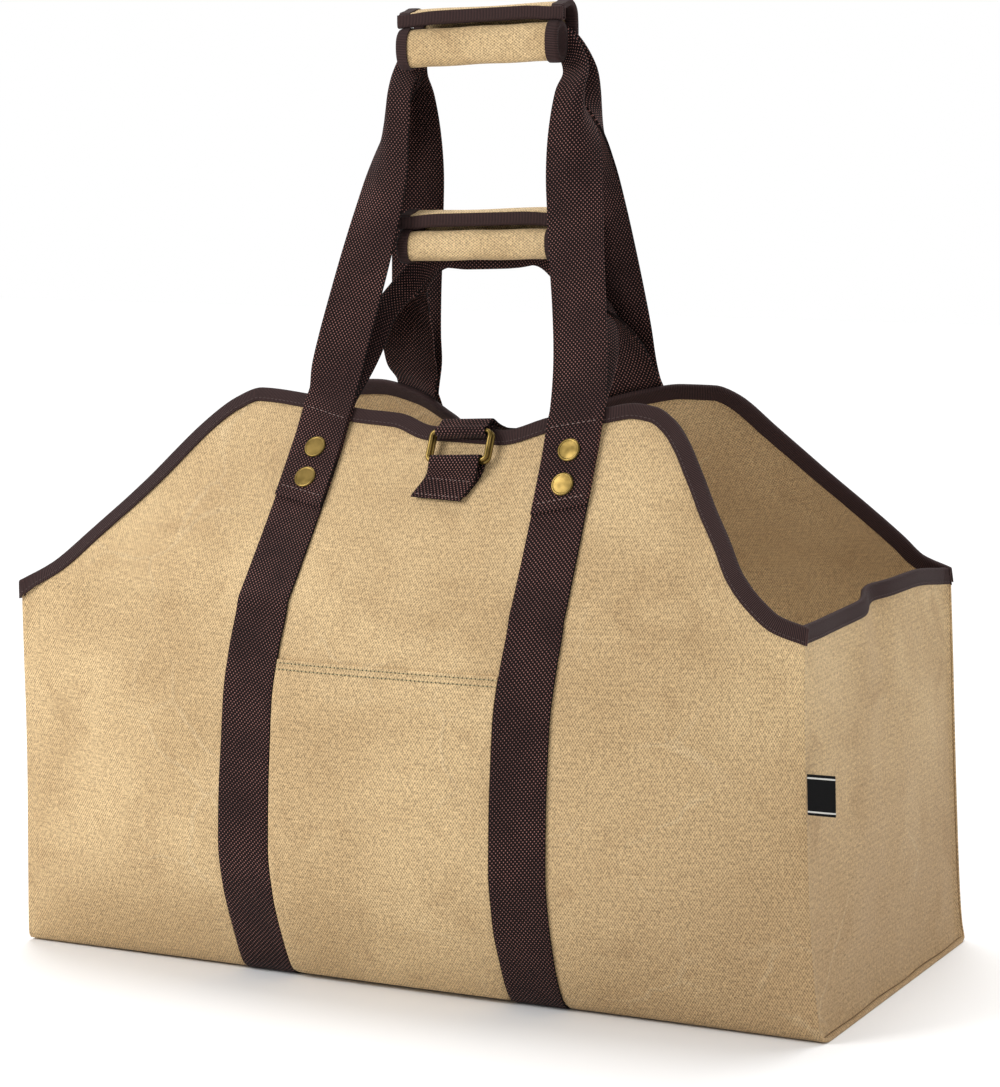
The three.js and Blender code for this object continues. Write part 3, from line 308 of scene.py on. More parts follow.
def layCloth(name, points, flat, outward, closed=False):
    # a flat grid is added and its vertices are laid on the shape; flat is the cloth's own map in mm
    points, flat = np.asarray(points, float), np.asarray(flat, float)
    rows, columns = points.shape[:2]
    j, i = rows // 2, columns // 2
    facing = np.cross(points[j, min(i + 1, columns - 1)] - points[j, i - 1],
                      points[min(j + 1, rows - 1), i] - points[j - 1, i])
    if facing.dot(outward) < 0:
        points, flat = points[:, ::-1], flat[:, ::-1]
    deselectAll()
    bpy.ops.mesh.primitive_grid_add(x_subdivisions=columns - 1, y_subdivisions=rows - 1, size=1.0,
                                    location=(0.5, 0.5, 0.0))
    cloth = bpy.context.object
    cloth.name = name
    cloth.data.name = name
    bpy.ops.object.transform_apply(location=True, rotation=False, scale=False)
    mesh = cloth.data
    spots = np.empty(len(mesh.vertices) * 3)
    mesh.vertices.foreach_get("co", spots)
    spots = spots.reshape(-1, 3)
    i = np.rint(spots[:, 0] * (columns - 1)).astype(int)
    j = np.rint(spots[:, 1] * (rows - 1)).astype(int)
    mesh.vertices.foreach_set("co", inFrame(points[j, i]).ravel())
    corners = np.empty(len(mesh.loops), int)
    mesh.loops.foreach_get("vertex_index", corners)
    clothMap = mesh.uv_layers.active or mesh.uv_layers.new()
    clothMap.name = "clothMap"
    clothMap.data.foreach_set("uv", (flat[j, i][corners] * 0.001).ravel())
    mesh.update()
    if closed:
        makeActive(cloth)
        editAll()
        mergeSpots()
        endEdit()
    return cloth


def giveThickness(cloth, thickness, offset=-1.0, round=0.0, smooth=50, even=True):
    makeActive(cloth)
    bpy.ops.object.modifier_add(type="SOLIDIFY")
    wall = cloth.modifiers[-1]
    wall.thickness = thickness * 0.001
    wall.offset = offset
    wall.use_even_offset = even and offset != 0.0     # a folded ribbon would throw spikes
    wall.thickness_clamp = 1.2
    bpy.ops.object.modifier_apply(modifier=wall.name)
    if round:
        bpy.ops.object.modifier_add(type="BEVEL")
        edge = cloth.modifiers[-1]
        edge.width = round * 0.001
        edge.segments = 2
        edge.limit_method = "ANGLE"
        edge.angle_limit = math.radians(60)
        bpy.ops.object.modifier_apply(modifier=edge.name)
    bpy.ops.object.shade_smooth_by_angle(angle=math.radians(smooth))
    return cloth


def smoothSections(sections, spacing):
    # finer sections along a ribbon that is given by a few, each a row of points
    sections = np.asarray(sections, float)
    middle = sections[:, sections.shape[1] // 2]
    gaps = np.maximum(np.linalg.norm(np.diff(middle, axis=0), axis=1), 0.05)
    knots = np.sqrt(gaps)
    before = np.concatenate([[2 * sections[0] - sections[1]], sections[:-1]])
    after = np.concatenate([sections[1:], [2 * sections[-1] - sections[-2]]])
    d0 = np.concatenate([[knots[0]], knots])[:, None, None]
    d1 = np.concatenate([knots, [knots[-1]]])[:, None, None]
    tangents = (sections - before) / d0 - (after - before) / (d0 + d1) + (after - sections) / d1
    finer = []
    for k in range(len(sections) - 1):
        steps = max(int(math.ceil(gaps[k] / spacing)), 1)
        for t in np.arange(steps) / steps:
            finer.append(hermite(t, knots[k], sections[k:k + 2], tangents[k:k + 2]))
    finer.append(sections[-1])
    return np.array(finer)


def ribbonMap(sections):
    # the ribbon's own map: across and along, in millimetres
    across = np.cumsum(np.linalg.norm(np.diff(sections, axis=1), axis=2), axis=1)
    across = np.concatenate([np.zeros((len(sections), 1)), across], 1)
    across = across - across.max(axis=1, keepdims=True) / 2
    along = runAlong(sections[:, sections.shape[1] // 2])
    return np.stack([across, np.broadcast_to(along[:, None], across.shape)], -1)


drawing = {}        # the node tree at hand


def newFinish(name, roughness, metallic=0.0):
    finish = bpy.data.materials.new(name)
    finish.use_nodes = True
    shader = finish.node_tree.nodes["Principled BSDF"]
    shader.inputs["Roughness"].default_value = roughness
    shader.inputs["Metallic"].default_value = metallic
    drawing["tree"] = finish.node_tree
    return finish, shader

def feed(made, inputs):
    for key, value in inputs.items():
        if isinstance(value, bpy.types.NodeSocket):
            drawing["tree"].links.new(value, made.inputs[key])
        else:
            made.inputs[key].default_value = value


def addNode(kind, inputs={}, **settings):
    made = drawing["tree"].nodes.new(kind)
    for key, value in settings.items():
        setattr(made, key, value)
    feed(made, inputs)
    return made.outputs


def calc(operation, *values):
    return addNode("ShaderNodeMath", dict(enumerate(values)), operation=operation)[0]


def times(first, second):
    return calc("MULTIPLY", first, second)


def weighed(start, *parts):
    # sum of values, each times its weight
    for value, weight in parts:
        start = calc("MULTIPLY_ADD", value, weight, start)
    return start


def spread(value, low, high, toLow=0.0, toHigh=1.0):
    ends = {"Value": value, "From Min": low, "From Max": high, "To Min": toLow, "To Max": toHigh}
    return addNode("ShaderNodeMapRange", ends, interpolation_type="SMOOTHSTEP")["Result"]


def linear(red, green, blue):
    def one(value):
        value = value / 255
        return value / 12.92 if value <= 0.04045 else ((value + 0.055) / 1.055) ** 2.4
    return (one(red), one(green), one(blue), 1.0)


def mixColours(amount, first, second, way="MIX"):
    # each colour is a socket, or red, green and blue from 0 to 255
    first, second = [linear(*colour) if isinstance(colour, tuple) else colour for colour in (first, second)]
    return addNode("ShaderNodeMix", {0: amount, 6: first, 7: second}, data_type="RGBA", blend_type=way)[2]


def noiseAt(where, scale, detail=3.0, roughness=0.55, distortion=0.0, output="Fac"):
    return addNode("ShaderNodeTexNoise", {"Vector": where, "Scale": scale, "Detail": detail,
                                                "Roughness": roughness, "Distortion": distortion})[output]


def raised(height, depth, strength, under=None):
    inputs = {"Strength": strength, "Distance": depth, "Height": height}
    return addNode("ShaderNodeBump", inputs if under is None else {**inputs, "Normal": under})["Normal"]


def spaceCoordinates():
    return addNode("ShaderNodeTexCoord")["Object"]


def clothCoordinates():
    onCloth = addNode("ShaderNodeUVMap", uv_map="clothMap")["UV"]
    x, y, _ = addNode("ShaderNodeSeparateXYZ", {0: onCloth})
    return onCloth, x, y, spaceCoordinates()


def threads(along, pitch):
    return calc("SINE", times(along, math.tau / pitch))


def wovenThreads(onCloth, ways, pitches, scale, drift):
    # warp and weft, both a little uneven
    wander = noiseAt(onCloth, scale, 2.0)
    return [threads(calc("MULTIPLY_ADD", wander, drift, way), pitch) for way, pitch in zip(ways, pitches)]


canvasLook = {
    "light": (209, 180, 135),
    "deep": (188, 158, 115),
    # the blotches' own stain colour, also used for the painted shade at the low right end
    "stainAndShade": (160, 129, 92),
    "bloom": (222, 200, 162),
    "threadPitches": (0.0019, 0.0029),
    "roughness": 0.74,
}


def canvasFinish(name, look):
    finish, shader = newFinish(name, look["roughness"])
    onCloth, x, y, inSpace = clothCoordinates()
    warp, weft = wovenThreads(onCloth, (x, y), look["threadPitches"], 70.0, 0.0011)
    slub = noiseAt(onCloth, 900.0, 2.0, 0.6)
    grain = noiseAt(onCloth, 380.0, 2.0, 0.6)
    weave = weighed(-0.5, (times(warp, weft), 0.32), (slub, 1.15), (weft, 0.045),
                    (grain, 1.0))
    # wax: clouds, and pale lines where the cloth was creased
    clouds = noiseAt(inSpace, 7.0, 5.0, 0.6, 0.4)
    blotches = noiseAt(inSpace, 26.0, 4.0, 0.62, 0.8)
    bent = noiseAt(onCloth, 16.0, 4.0, 0.5, output="Color")
    warped = addNode("ShaderNodeVectorMath", {0: bent, 1: (0.055, 0.055, 0.0), 2: onCloth},
                     operation="MULTIPLY_ADD")[0]
    cracks = addNode("ShaderNodeTexVoronoi", {"Vector": warped, "Scale": 13.0}, feature="DISTANCE_TO_EDGE")
    crease = times(spread(cracks["Distance"], 0.0, 0.028, 1.0, 0.0),
                  spread(noiseAt(inSpace, 9.0, 2.0), 0.5, 0.68))
    colour = mixColours(spread(clouds, 0.34, 0.68), look["deep"], look["light"])
    colour = mixColours(spread(blotches, 0.5, 0.78, 0.0, 0.42), colour, look["stainAndShade"])
    # painted shade: darker towards the low right end of each piece, mottled with the clouds
    across, _, up = addNode("ShaderNodeSeparateXYZ", {0: inSpace})
    lowRightShade = times(spread(across, 0.0, 0.29), spread(up, 0.03, 0.25, 1.0, 0.0))
    lowRightShade = times(lowRightShade, spread(clouds, 0.3, 0.6, 0.38, 0.64))
    colour = mixColours(lowRightShade, colour, look["stainAndShade"])
    colour = mixColours(times(crease, 0.22), colour, look["bloom"])
    shade = spread(weave, 0.05, 1.1, 0.44, 1.26)
    grey = addNode("ShaderNodeCombineXYZ", {0: shade, 1: shade, 2: shade})[0]
    normal = raised(noiseAt(inSpace, 34.0, 3.0, 0.5, 0.3), 0.0022, 0.35)
    normal = raised(crease, 0.0005, 0.6, normal)
    feed(shader, {
        "Base Color": mixColours(1.0, colour, grey, "MULTIPLY"),
        "Normal": raised(weave, 0.00035, 0.8, normal),
        "Roughness": spread(blotches, 0.3, 0.8, look["roughness"] - 0.06, look["roughness"] + 0.1),
        "Sheen Weight": 0.04, "Sheen Roughness": 0.45, "Specular IOR Level": 0.28,
    })
    return finish


# deep is painted shade between the weave's dots, the light colour their painted highlight
webbingLook = {"deep": (20, 10, 10), "tipHighlight": (168, 118, 110), "dotPitches": (0.0026, 0.003), "roughness": 0.88}


def webbingFinish(name, look):
    finish, shader = newFinish(name, look["roughness"])
    onCloth, x, y, inSpace = clothCoordinates()
    dots = times(*wovenThreads(onCloth, (x, y), look["dotPitches"], 120.0, 0.0007))
    fuzz = noiseAt(onCloth, 1400.0, 2.0, 0.65)
    # painted highlight on the raised dots and painted shade in the hollows, made uneven by patches of tone
    tipHighlights = spread(weighed(dots, (fuzz, 0.8)), 0.76, 1.45)
    patches = spread(noiseAt(inSpace, 30.0, 3.0), 0.3, 0.7, 0.55, 1.0)
    feed(shader, {
        "Base Color": mixColours(times(tipHighlights, patches), look["deep"], look["tipHighlight"]),
        "Normal": raised(weighed(0.0, (dots, 0.55), (fuzz, 0.7)), 0.0005, 0.9),
        "Sheen Weight": 0.03, "Sheen Roughness": 0.5, "Specular IOR Level": 0.12,
    })
    return finish


# deep is painted shade in the grooves between the ribs
bindingLook = {"deep": (24, 15, 15), "rib": (70, 48, 46), "ribPitch": 0.0011, "roughness": 0.72}


def bindingFinish(name, look):
    finish, shader = newFinish(name, look["roughness"])
    onCloth, _, y, _ = clothCoordinates()
    ribs = wovenThreads(onCloth, [y], [look["ribPitch"]], 90.0, 0.0004)[0]
    height = weighed(0.0, (ribs, 0.5), (noiseAt(onCloth, 1500.0, 2.0, 0.6), 0.5))
    feed(shader, {
        # painted shade: darker where the ribbed surface is low
        "Base Color": mixColours(spread(height, -0.1, 0.8), look["deep"], look["rib"]),
        "Normal": raised(height, 0.0003, 0.8),
        "Sheen Weight": 0.02, "Specular IOR Level": 0.15,
    })
    return finish


brassLook = {"bright": (140, 117, 66), "dull": (100, 83, 43), "roughness": 0.4}


def brassFinish(name, look):
    finish, shader = newFinish(name, look["roughness"], 1.0)
    inSpace = spaceCoordinates()
    tarnish = noiseAt(inSpace, 95.0, 2.0, 0.5, 0.2)
    feed(shader, {
        "Base Color": mixColours(spread(tarnish, 0.32, 0.68), look["dull"], look["bright"]),
        "Roughness": spread(tarnish, 0.3, 0.7, look["roughness"] + 0.08, look["roughness"] - 0.06),
        "Normal": raised(noiseAt(inSpace, 1500.0, 3.0, 0.6), 0.00003, 0.35),
    })
    return finish


def threadFinish(name, light, deep):
    finish, shader = newFinish(name, 0.8)
    twist = noiseAt(spaceCoordinates(), 2600.0, 2.0, 0.6)
    feed(shader, {"Base Color": mixColours(spread(twist, 0.3, 0.7), deep, light),
                        "Normal": raised(twist, 0.0001, 0.6)})
    return finish


labelLook = {"ground": (5, 5, 6), "worn": (14, 14, 15), "stripe": (200, 198, 192), "stripeWidth": 0.001,
             "stripeInset": 0.0022, "threadPitches": (0.00042, 0.00036), "roughness": 0.62}


def labelFinish(name, look, height):
    finish, shader = newFinish(name, look["roughness"])
    onCloth, x, y, _ = clothCoordinates()
    weave = times(*[threads(way, pitch) for way, pitch in zip((x, y), look["threadPitches"])])
    edge = calc("SUBTRACT", height / 2 - look["stripeInset"], calc("ABSOLUTE", y))
    stripe = calc("COMPARE", edge, 0.0, look["stripeWidth"] / 2)
    fuzz = spread(noiseAt(onCloth, 2400.0, 2.0), 0.3, 0.8)
    feed(shader, {
        "Base Color": mixColours(stripe, mixColours(fuzz, look["ground"], look["worn"]), look["stripe"]),
        "Normal": raised(weave, 0.0001, 0.6),
        "Specular IOR Level": 0.12,
    })
    return finish


canvas = canvasFinish("waxedCanvas", canvasLook)
gripCanvas = canvasFinish("gripCanvas", {**canvasLook, "light": (208, 180, 136), "deep": (192, 163, 119),
                                         "threadPitches": (0.0019, 0.0026)})
webbing = webbingFinish("brownWebbing", webbingLook)
binding = bindingFinish("brownBinding", bindingLook)
brass = brassFinish("antiqueBrass", brassLook)
paleThread = threadFinish("canvasThread", (190, 180, 140), (128, 120, 88))
# painted shade: dark dots where the thread goes into its needle holes
needleHoleShade = threadFinish("needleHoleShade", (96, 84, 56), (66, 56, 36))
brownThread = threadFinish("brownThread", (92, 72, 68), (44, 32, 30))
boxThread = threadFinish("boxThread", (168, 146, 140), (112, 90, 84))
print("scene: finishes ready")


def dress(piece, finish, slotName, *nodes):
    piece.data.materials.clear()
    piece.data.materials.append(finish)
    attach(piece, "root")
    if nodes:
        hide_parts(*nodes)
    return piece

def sew(name, points, outward, thickness, finish, slotName, node, flat=None, closed=False, **wall):
    # one piece of cloth: its surface, its thickness, its finish and the node it stands for
    flat = ribbonMap(points) if flat is None else flat
    cloth = giveThickness(layCloth(name, points, flat, outward, closed), thickness, **wall)
    return dress(cloth, finish, slotName, node)


# Long panel: one cloth from the front rim, under the base, to the back rim
panelMake = {"columns": 150, "wallRows": 78, "baseRows": 46}
wallStations = np.linspace(0, 1, panelMake["wallRows"] + 1)
baseStations = np.linspace(1, 2, panelMake["baseRows"] + 1)[1:]
points, flat = panelGrid(np.linspace(-1, 1, panelMake["columns"] + 1),
                         np.concatenate([wallStations, baseStations, wallStations[1:] + 2]))
sew("longPanel", points, (0, 0, -1), bag["cloth"], canvas, "waxed_canvas", "main_panel", flat, round=0.35)
print("scene: long panel sewn")

# End walls, which hang between the two long walls
endMake = {"across": 64, "rows": 74, "belly": 5.0, "crease": 7.0, "creaseWidth": 0.14, "creaseHeight": 45,
           "lip": 2.5, "ripple": 1.3, "slant": 0.9}


def endPoints(end):
    share = np.linspace(0, 1, endMake["rows"] + 1)
    walls = []
    for side in (-1, 1):
        points, _ = panelGrid([end, end * 0.985], share if side < 0 else 3 - share)
        normals = gridNormals(points)[:, 0]
        normals = normals * np.sign(normals[:, 1] * side)[:, None]
        edge = points[:, 0] - normals * (bag["cloth"] + bag["gap"] * 0.3)
        edge[:, 2] = np.maximum(edge[:, 2], bag["cloth"] + bag["gap"])
        walls.append(edge)
    across = np.linspace(-1, 1, endMake["across"] + 1)
    t = ((across + 1) / 2)[None, :, None]
    points = walls[0][:, None] * (1 - t) + walls[1][:, None] * t
    up = np.clip(points[..., 2] / bag["wallHeight"], 0, 1)
    c = across[None, :]
    belly = endMake["belly"] * (1 - c * c) * np.sin(math.pi * up)
    crease = endMake["crease"] * np.exp(-((c / endMake["creaseWidth"]) ** 2))
    crease = crease * np.exp(-(1 - up) * bag["wallHeight"] / endMake["creaseHeight"])
    waves = softWaves(points[..., 1], points[..., 2], 120, 40 + end) * endMake["ripple"]
    slant = endMake["slant"] * np.sin((points[..., 1] * 0.8 + points[..., 2]) / 17 + end)
    slant = slant * np.exp(-((up - 0.72) / 0.3) ** 2)
    loose = (waves + slant) * (1 - c**2) ** 0.5
    lip = endMake["lip"] * (1 - 0.7 * smoothStep(0.96, 1.0, np.abs(c)))
    points[..., 0] += end * (belly - crease - lip + loose)
    points[..., 2] += bag["wallHeight"] * monotone(endRim, 1, c) * up**2
    return points


endGrids = {hand: endPoints(end) for hand, end in hands}
for hand, end in hands:
    sew("endWall" + hand.capitalize(), endGrids[hand], (end, 0, 0), bag["cloth"], canvas, "waxed_canvas",
        "end_panel_" + hand, endGrids[hand][..., 1:], round=0.3)
print("scene: end walls sewn")

# Tape folded over an edge. The edge is a line of points, each with its outward direction
bindingMake = {"width": 9.5, "thickness": 1.0, "places": 230, "cornerPlaces": 8, "seamDrop": 6.0,
               "lap": 0.5}


def foldedTape(name, edge, outs, intos, cloth, width=bindingMake["width"], gap=bag["gap"]):
    # edge on the cloth's outer face; intos point from the edge into the cloth
    thickness = bindingMake["thickness"]
    reach = gap + thickness
    half = cloth / 2 + reach
    profile = [(reach, width), (reach + 0.12, width * 0.7), (reach + 0.12, width * 0.35),
               (reach + 0.05, 1.0)]
    for angle in np.radians([0, 25, 50, 70, 90, 110, 130, 155, 180]):
        profile.append((-cloth / 2 + half * math.cos(angle), -half * 0.72 * math.sin(angle)))
    profile += [(-cloth - reach, 1.0), (-cloth - reach, width * 0.4), (-cloth - reach, width)]
    edge, outs, intos = np.array(edge), np.array(outs), np.array(intos)
    points = np.stack([edge + outs * h + intos * d for h, d in profile], 1)
    flat = np.stack(np.broadcast_arrays(runAlong(profile)[None, :], runAlong(edge)[:, None]), -1)
    tape = layCloth(name, points, flat, -intos[len(edge) // 2])
    return giveThickness(tape, thickness, round=0.22, even=False)


def rimEdge(side):
    us = np.linspace(-1, 1, bindingMake["places"])
    spots = [clothSpot(side, u, 0.0) for u in us]
    edge = np.array([point for point, _, _ in spots])
    outs = np.array([unit(clothSpot(side, u, 5.0)[2] + out) for u, (_, _, out) in zip(us, spots)])
    along = unit(np.gradient(edge, axis=0))
    intos = unit(np.cross(along, outs))
    intos *= np.sign(-intos[:, 2])[:, None]
    outs = np.cross(intos, along)
    outs *= (np.sign(outs[:, 1]) * side)[:, None]
    corner = bindingMake["cornerPlaces"]
    for k in (*range(corner + 1), *range(-corner - 1, 0)):        # its ends run along the seam
        seam = dropPoint(side, us[k], bindingMake["seamDrop"]) - edge[k]
        seam -= outs[k] * seam.dot(outs[k])
        seam /= seam.dot(intos[k])
        share = 1 - (k if k >= 0 else -1 - k) / corner
        intos[k] = intos[k] * (1 - share) + seam * share
    lapEnds(edge)
    return edge, outs, intos


def lapEnds(row):
    # the tape laps over the walls' ends
    for k, inner in ((0, 1), (-1, -2)):
        row[k] += (row[k] - row[inner]) * bindingMake["lap"]


rimEdges = {face: rimEdge(side) for face, side in faces}
for hand, end in hands:
    edge, lower = endGrids[hand][0].copy(), endGrids[hand][3].copy()
    lapEnds(edge)
    lapEnds(lower)
    along = unit(np.gradient(edge, axis=0))
    intos = lower - edge
    intos = unit(intos - along * np.sum(intos * along, 1, keepdims=True))
    outs = np.cross(along, intos)
    rimEdges[hand] = (edge, outs * (np.sign(outs[:, 0]) * end)[:, None], intos)
rimNames = {"front": ("frontBinding", "front_binding"), "back": ("backBinding", "back_binding"),
            "left": ("endBindingLeft", "end_binding_left"), "right": ("endBindingRight", "end_binding_right")}
for place, (name, node) in rimNames.items():
    dress(foldedTape(name, *rimEdges[place], bag["cloth"]), binding, "binding_tape", node)
print("scene: rims bound")

# Straps and pocket lie on the long panel
onPanel = {
    "strapAcross": 9, "strapRows": 260, "pocketThickness": 1.4, "pocketHem": 214.0, "pocketAcross": 41,
    "pocketRows": 60, "pocketFoot": 4.0, "mapShift": 3.3, "box": 66.0, "boxSkew": 5.0,
}


def boxDrop(u):
    return onPanel["box"] - onPanel["boxSkew"] * u * bag["halfLength"] / strapLines["middle"]


def shareAt(x):
    # place along the bag, as a share of half its length
    return x / bag["halfLength"]


def strapShares(sign, count):
    return shareAt(sign * strapLines["middle"] + np.linspace(-1, 1, count) * strapLines["half"])


def patchOnPanel(us, ends, rows, thickness):
    # patch between two places on each line over the bag, with its normals
    points = []
    for u in us:
        column = columnAt(u)
        points.append(alongColumn(column, np.linspace(*ends(u, column), rows)))
    points = np.stack(points, 1)
    normals = gridNormals(points)
    if normals[rows // 6, len(us) // 2, 1] > 0:
        normals = -normals
    return points + normals * (bag["gap"] + thickness), normals


def strapEnds(u, column):
    return boxDrop(u) + bag["gap"], column["run"][-1] - boxDrop(u) - bag["gap"]


def pocketEnds(u, column):
    return frontRun(column, onPanel["pocketHem"]), column["corners"][0] - onPanel["pocketFoot"]


for hand, sign in hands:
    points, _ = patchOnPanel(strapShares(sign, onPanel["strapAcross"]), strapEnds, onPanel["strapRows"],
                             strapLines["thickness"])
    sew("strap" + hand.capitalize(), points, (0, 0, -1), strapLines["thickness"], webbing, "webbing",
        "strap_" + hand, round=0.4)

pocketEdge = shareAt(strapLines["middle"] - strapLines["half"] - bag["gap"])
pocketUs = np.linspace(-pocketEdge, pocketEdge, onPanel["pocketAcross"])
points, pocketNormals = patchOnPanel(pocketUs, pocketEnds, onPanel["pocketRows"],
                                     onPanel["pocketThickness"])
flat = ribbonMap(points)
flat[..., 0] = pocketUs * bag["halfLength"]
sew("frontPocket", points, (0, -1, 0), onPanel["pocketThickness"], canvas, "waxed_canvas", "front_pocket",
    flat + onPanel["mapShift"], round=0.3)
print("scene: straps and pocket on")

# Handles: two long, two short, sewn at the boxes and folded lengthwise into the grips
handleMake = {
    "longRise": 235.0, "shortRise": 104.0, "rimShare": 0.93, "gripLength": 118.0, "gripX": -3.0,
    "gripY": -19.0, "rollDepth": 17.0, "longRoll": 25.0, "shortRoll": 20.0, "tilt": 4.0, "standoff": 4.0,
    "across": 17, "spacing": 4.0, "folded": 3.4, "foldTurn": 172,
}
# How the webbing passes each grip: how much higher, and how far beyond the roll's ends
gripPass = {"long": {"lift": 2, "beyond": 6, "drawnIn": 5},
            "short": {"lift": -7, "beyond": -7, "drawnIn": 0}}
# Route of a leg as shares of its way in, its depth and its rise, and how far it is folded, in degrees
legRoutes = {
    "long": [
        (0.04, 0.08, 0.07, 0), (0.13, 0.18, 0.16, 0), (0.29, 0.31, 0.28, 2), (0.46, 0.43, 0.4, 8),
        (0.62, 0.56, 0.52, 20), (0.77, 0.68, 0.64, 40), (0.9, 0.79, 0.75, 74), (0.98, 0.88, 0.85, 128),
        (1, 0.96, 0.925, 172),
    ],
    "short": [
        (0.04, 0.2, 0.13, 5), (0.13, 0.42, 0.27, 22), (0.26, 0.62, 0.41, 50), (0.42, 0.8, 0.54, 85),
        (0.61, 0.95, 0.67, 130), (0.81, 1, 0.8, 172),
    ],
}
halfWeb = strapLines["thickness"] / 2
webbingSeat = handleMake["rollDepth"] / 2 + bindingMake["thickness"] + 6 * bag["gap"]
webbingSeat += handleMake["folded"] / 2
webbingStep = handleMake["folded"] + 3 * bag["gap"]


def gripPlace(level):
    rimTop = bag["wallHeight"] + bag["rise"] * handleMake["rimShare"]
    return {"x": handleMake["gripX"], "y": handleMake["gripY"], "z": rimTop + handleMake[level + "Rise"],
            "roll": handleMake[level + "Roll"]}


def rimLift(drop):
    # how far webbing is lifted where it crosses the rim's tape
    return (bindingMake["thickness"] + bag["gap"]) * float(1 - smoothStep(10, 24, drop))


def sewnSections(side, sign, layer):
    sections = []
    for step in ([] if layer == 1 else [1.0 + 5 / 66]) + [1.0, 0.8, 0.6, 0.4, 0.15, 0, -1]:
        row = []
        for u in strapShares(sign, handleMake["across"]):
            drop = boxDrop(u) * max(step, 0)
            point, down, out = clothSpot(side, u, drop)
            spot = point + out * (bag["gap"] + (layer - 1) * strapLines["lift"] + halfWeb + rimLift(drop))
            row.append(spot - down * handleMake["standoff"] if step < 0 else spot)
        sections.append(row)
    return np.array(sections)


def foldProfile(degrees, count, mirrored):
    # section of webbing that folds lengthwise: places across and out of its own plane
    half = strapLines["half"]
    s = np.linspace(-half, half, count)
    fold = min(degrees / handleMake["foldTurn"], 1)
    s = np.sign(s) * half * (np.abs(s) / half) ** (1 + 0.9 * fold)
    turn = math.radians(degrees)
    width = 8 * (1 - fold) ** 1.3 + 1.2
    fine = np.linspace(-half, half, 601)
    angle = turn * (0.5 - 0.5 * np.tanh(fine / width))
    x = np.cumsum(np.cos(angle)) * (fine[1] - fine[0])
    y = np.cumsum(np.sin(angle)) * (fine[1] - fine[0])
    x = np.interp(s, fine, x - x[300])
    y = np.interp(s, fine, y - y[300])
    x -= (x.max() + x.min()) / 2
    y -= (y.max() + y.min()) / 2
    return (-x[::-1], y[::-1]) if mirrored else (x, y)


def handleSections(side, level):
    grip, way = gripPlace(level), gripPass[level]
    y = grip["y"] + webbingSeat + (0 if side < 0 else webbingStep)
    z = grip["z"] + way["lift"]
    reach = handleMake["gripLength"] / 2 + way["beyond"]
    legs = []
    for end in (-1, 1):
        sewn = sewnSections(side, end, 2 if level == "long" else 1)
        start = sewn[-1].mean(0)
        half = reach - (way["drawnIn"] if end < 0 else 0)        # drawn in under the roll's left end
        aim = np.array([grip["x"] + end * half, y, z])
        stations = [(sewn[-2].mean(0), 0.0), (start, 0.0)]
        for *shares, fold in legRoutes[level]:
            stations.append((start + (aim - start) * np.array(shares), fold))
        legs.append((sewn, stations))
    through = [(np.array([grip["x"] + share * reach, y, z + share * handleMake["tilt"] * 0.5]),
                handleMake["foldTurn"]) for share in (-0.78, -0.3, 0.3, 0.78)]
    stations = legs[0][1] + through + legs[1][1][::-1]
    spots = [place for place, _ in stations]
    free = []
    for k in range(2, len(stations) - 2):
        ahead, behind = spots[k + 1] - spots[k], spots[k] - spots[k - 1]
        along = unit(ahead / np.linalg.norm(ahead) ** 0.5 + behind / np.linalg.norm(behind) ** 0.5)
        facing = np.array([0.0, side, 0.0])
        facing = unit(facing - along * facing.dot(along))
        x, y = foldProfile(stations[k][1], handleMake["across"], side > 0)
        free.append(spots[k] + x[:, None] * np.cross(along, facing) + y[:, None] * facing)
    turn = 1 if side < 0 else -1
    return np.concatenate([legs[0][0][:, ::turn], np.array(free), legs[1][0][::-1, ::-turn]])


for level in ("long", "short"):
    for face, side in faces:
        sections = smoothSections(handleSections(side, level), handleMake["spacing"])
        sew(level + "Handle" + face.capitalize(), sections, (0, side, 0), strapLines["thickness"], webbing,
            "webbing", level + "_handle_" + face, offset=0.0, round=0.4, smooth=60)
print("scene: handles shaped")

# Grips: a canvas roll before the webbing, a flap over it, tape on the ends and the flap's edges
gripMake = {
    "rollWall": 1.6, "rollSides": 40, "rollInset": 1.3, "lumps": 0.35, "squareness": 0.86, "tapeWidth": 7.0,
    "tapeWall": 1.0, "flapWall": 1.6, "clearance": 13.5, "fall": 9.0, "tail": 9.0, "sag": 1.7, "sway": 0.35,
    "spacing": 1.6, "places": 41,
}
# Tape round a roll's end: place from the end, height over the roll
rollTape = [(-gripMake["tapeWidth"], 1.3), (-3.4, 1.35), (-0.5, 1.3), (0.6, 1.0), (1.2, 0.2), (1.3, -1.0),
            (1.1, -2.2), (0.3, -2.8), (-1.2, -4.4), (-2.2, -6.4), (-2.6, -8.2)]


def rollPoints(grip, grow, places):
    angle = np.linspace(0, math.tau, gripMake["rollSides"] + 1)
    cosine, sine = [np.sign(v) * np.abs(v) ** gripMake["squareness"]
                    for v in (np.cos(angle), np.sin(angle))]
    rings = []
    for x in places:
        lift = handleMake["tilt"] * x / handleMake["gripLength"]
        swell = grow + gripMake["lumps"] * np.sin(3 * angle + x / 17) * np.sin(x / 11 + grip["z"])
        y = grip["y"] + (handleMake["rollDepth"] / 2 + swell) * cosine
        z = grip["z"] + lift + (grip["roll"] / 2 + swell) * sine
        rings.append(np.stack([np.full_like(y, grip["x"] + x), y, z], -1))
    return np.array(rings)


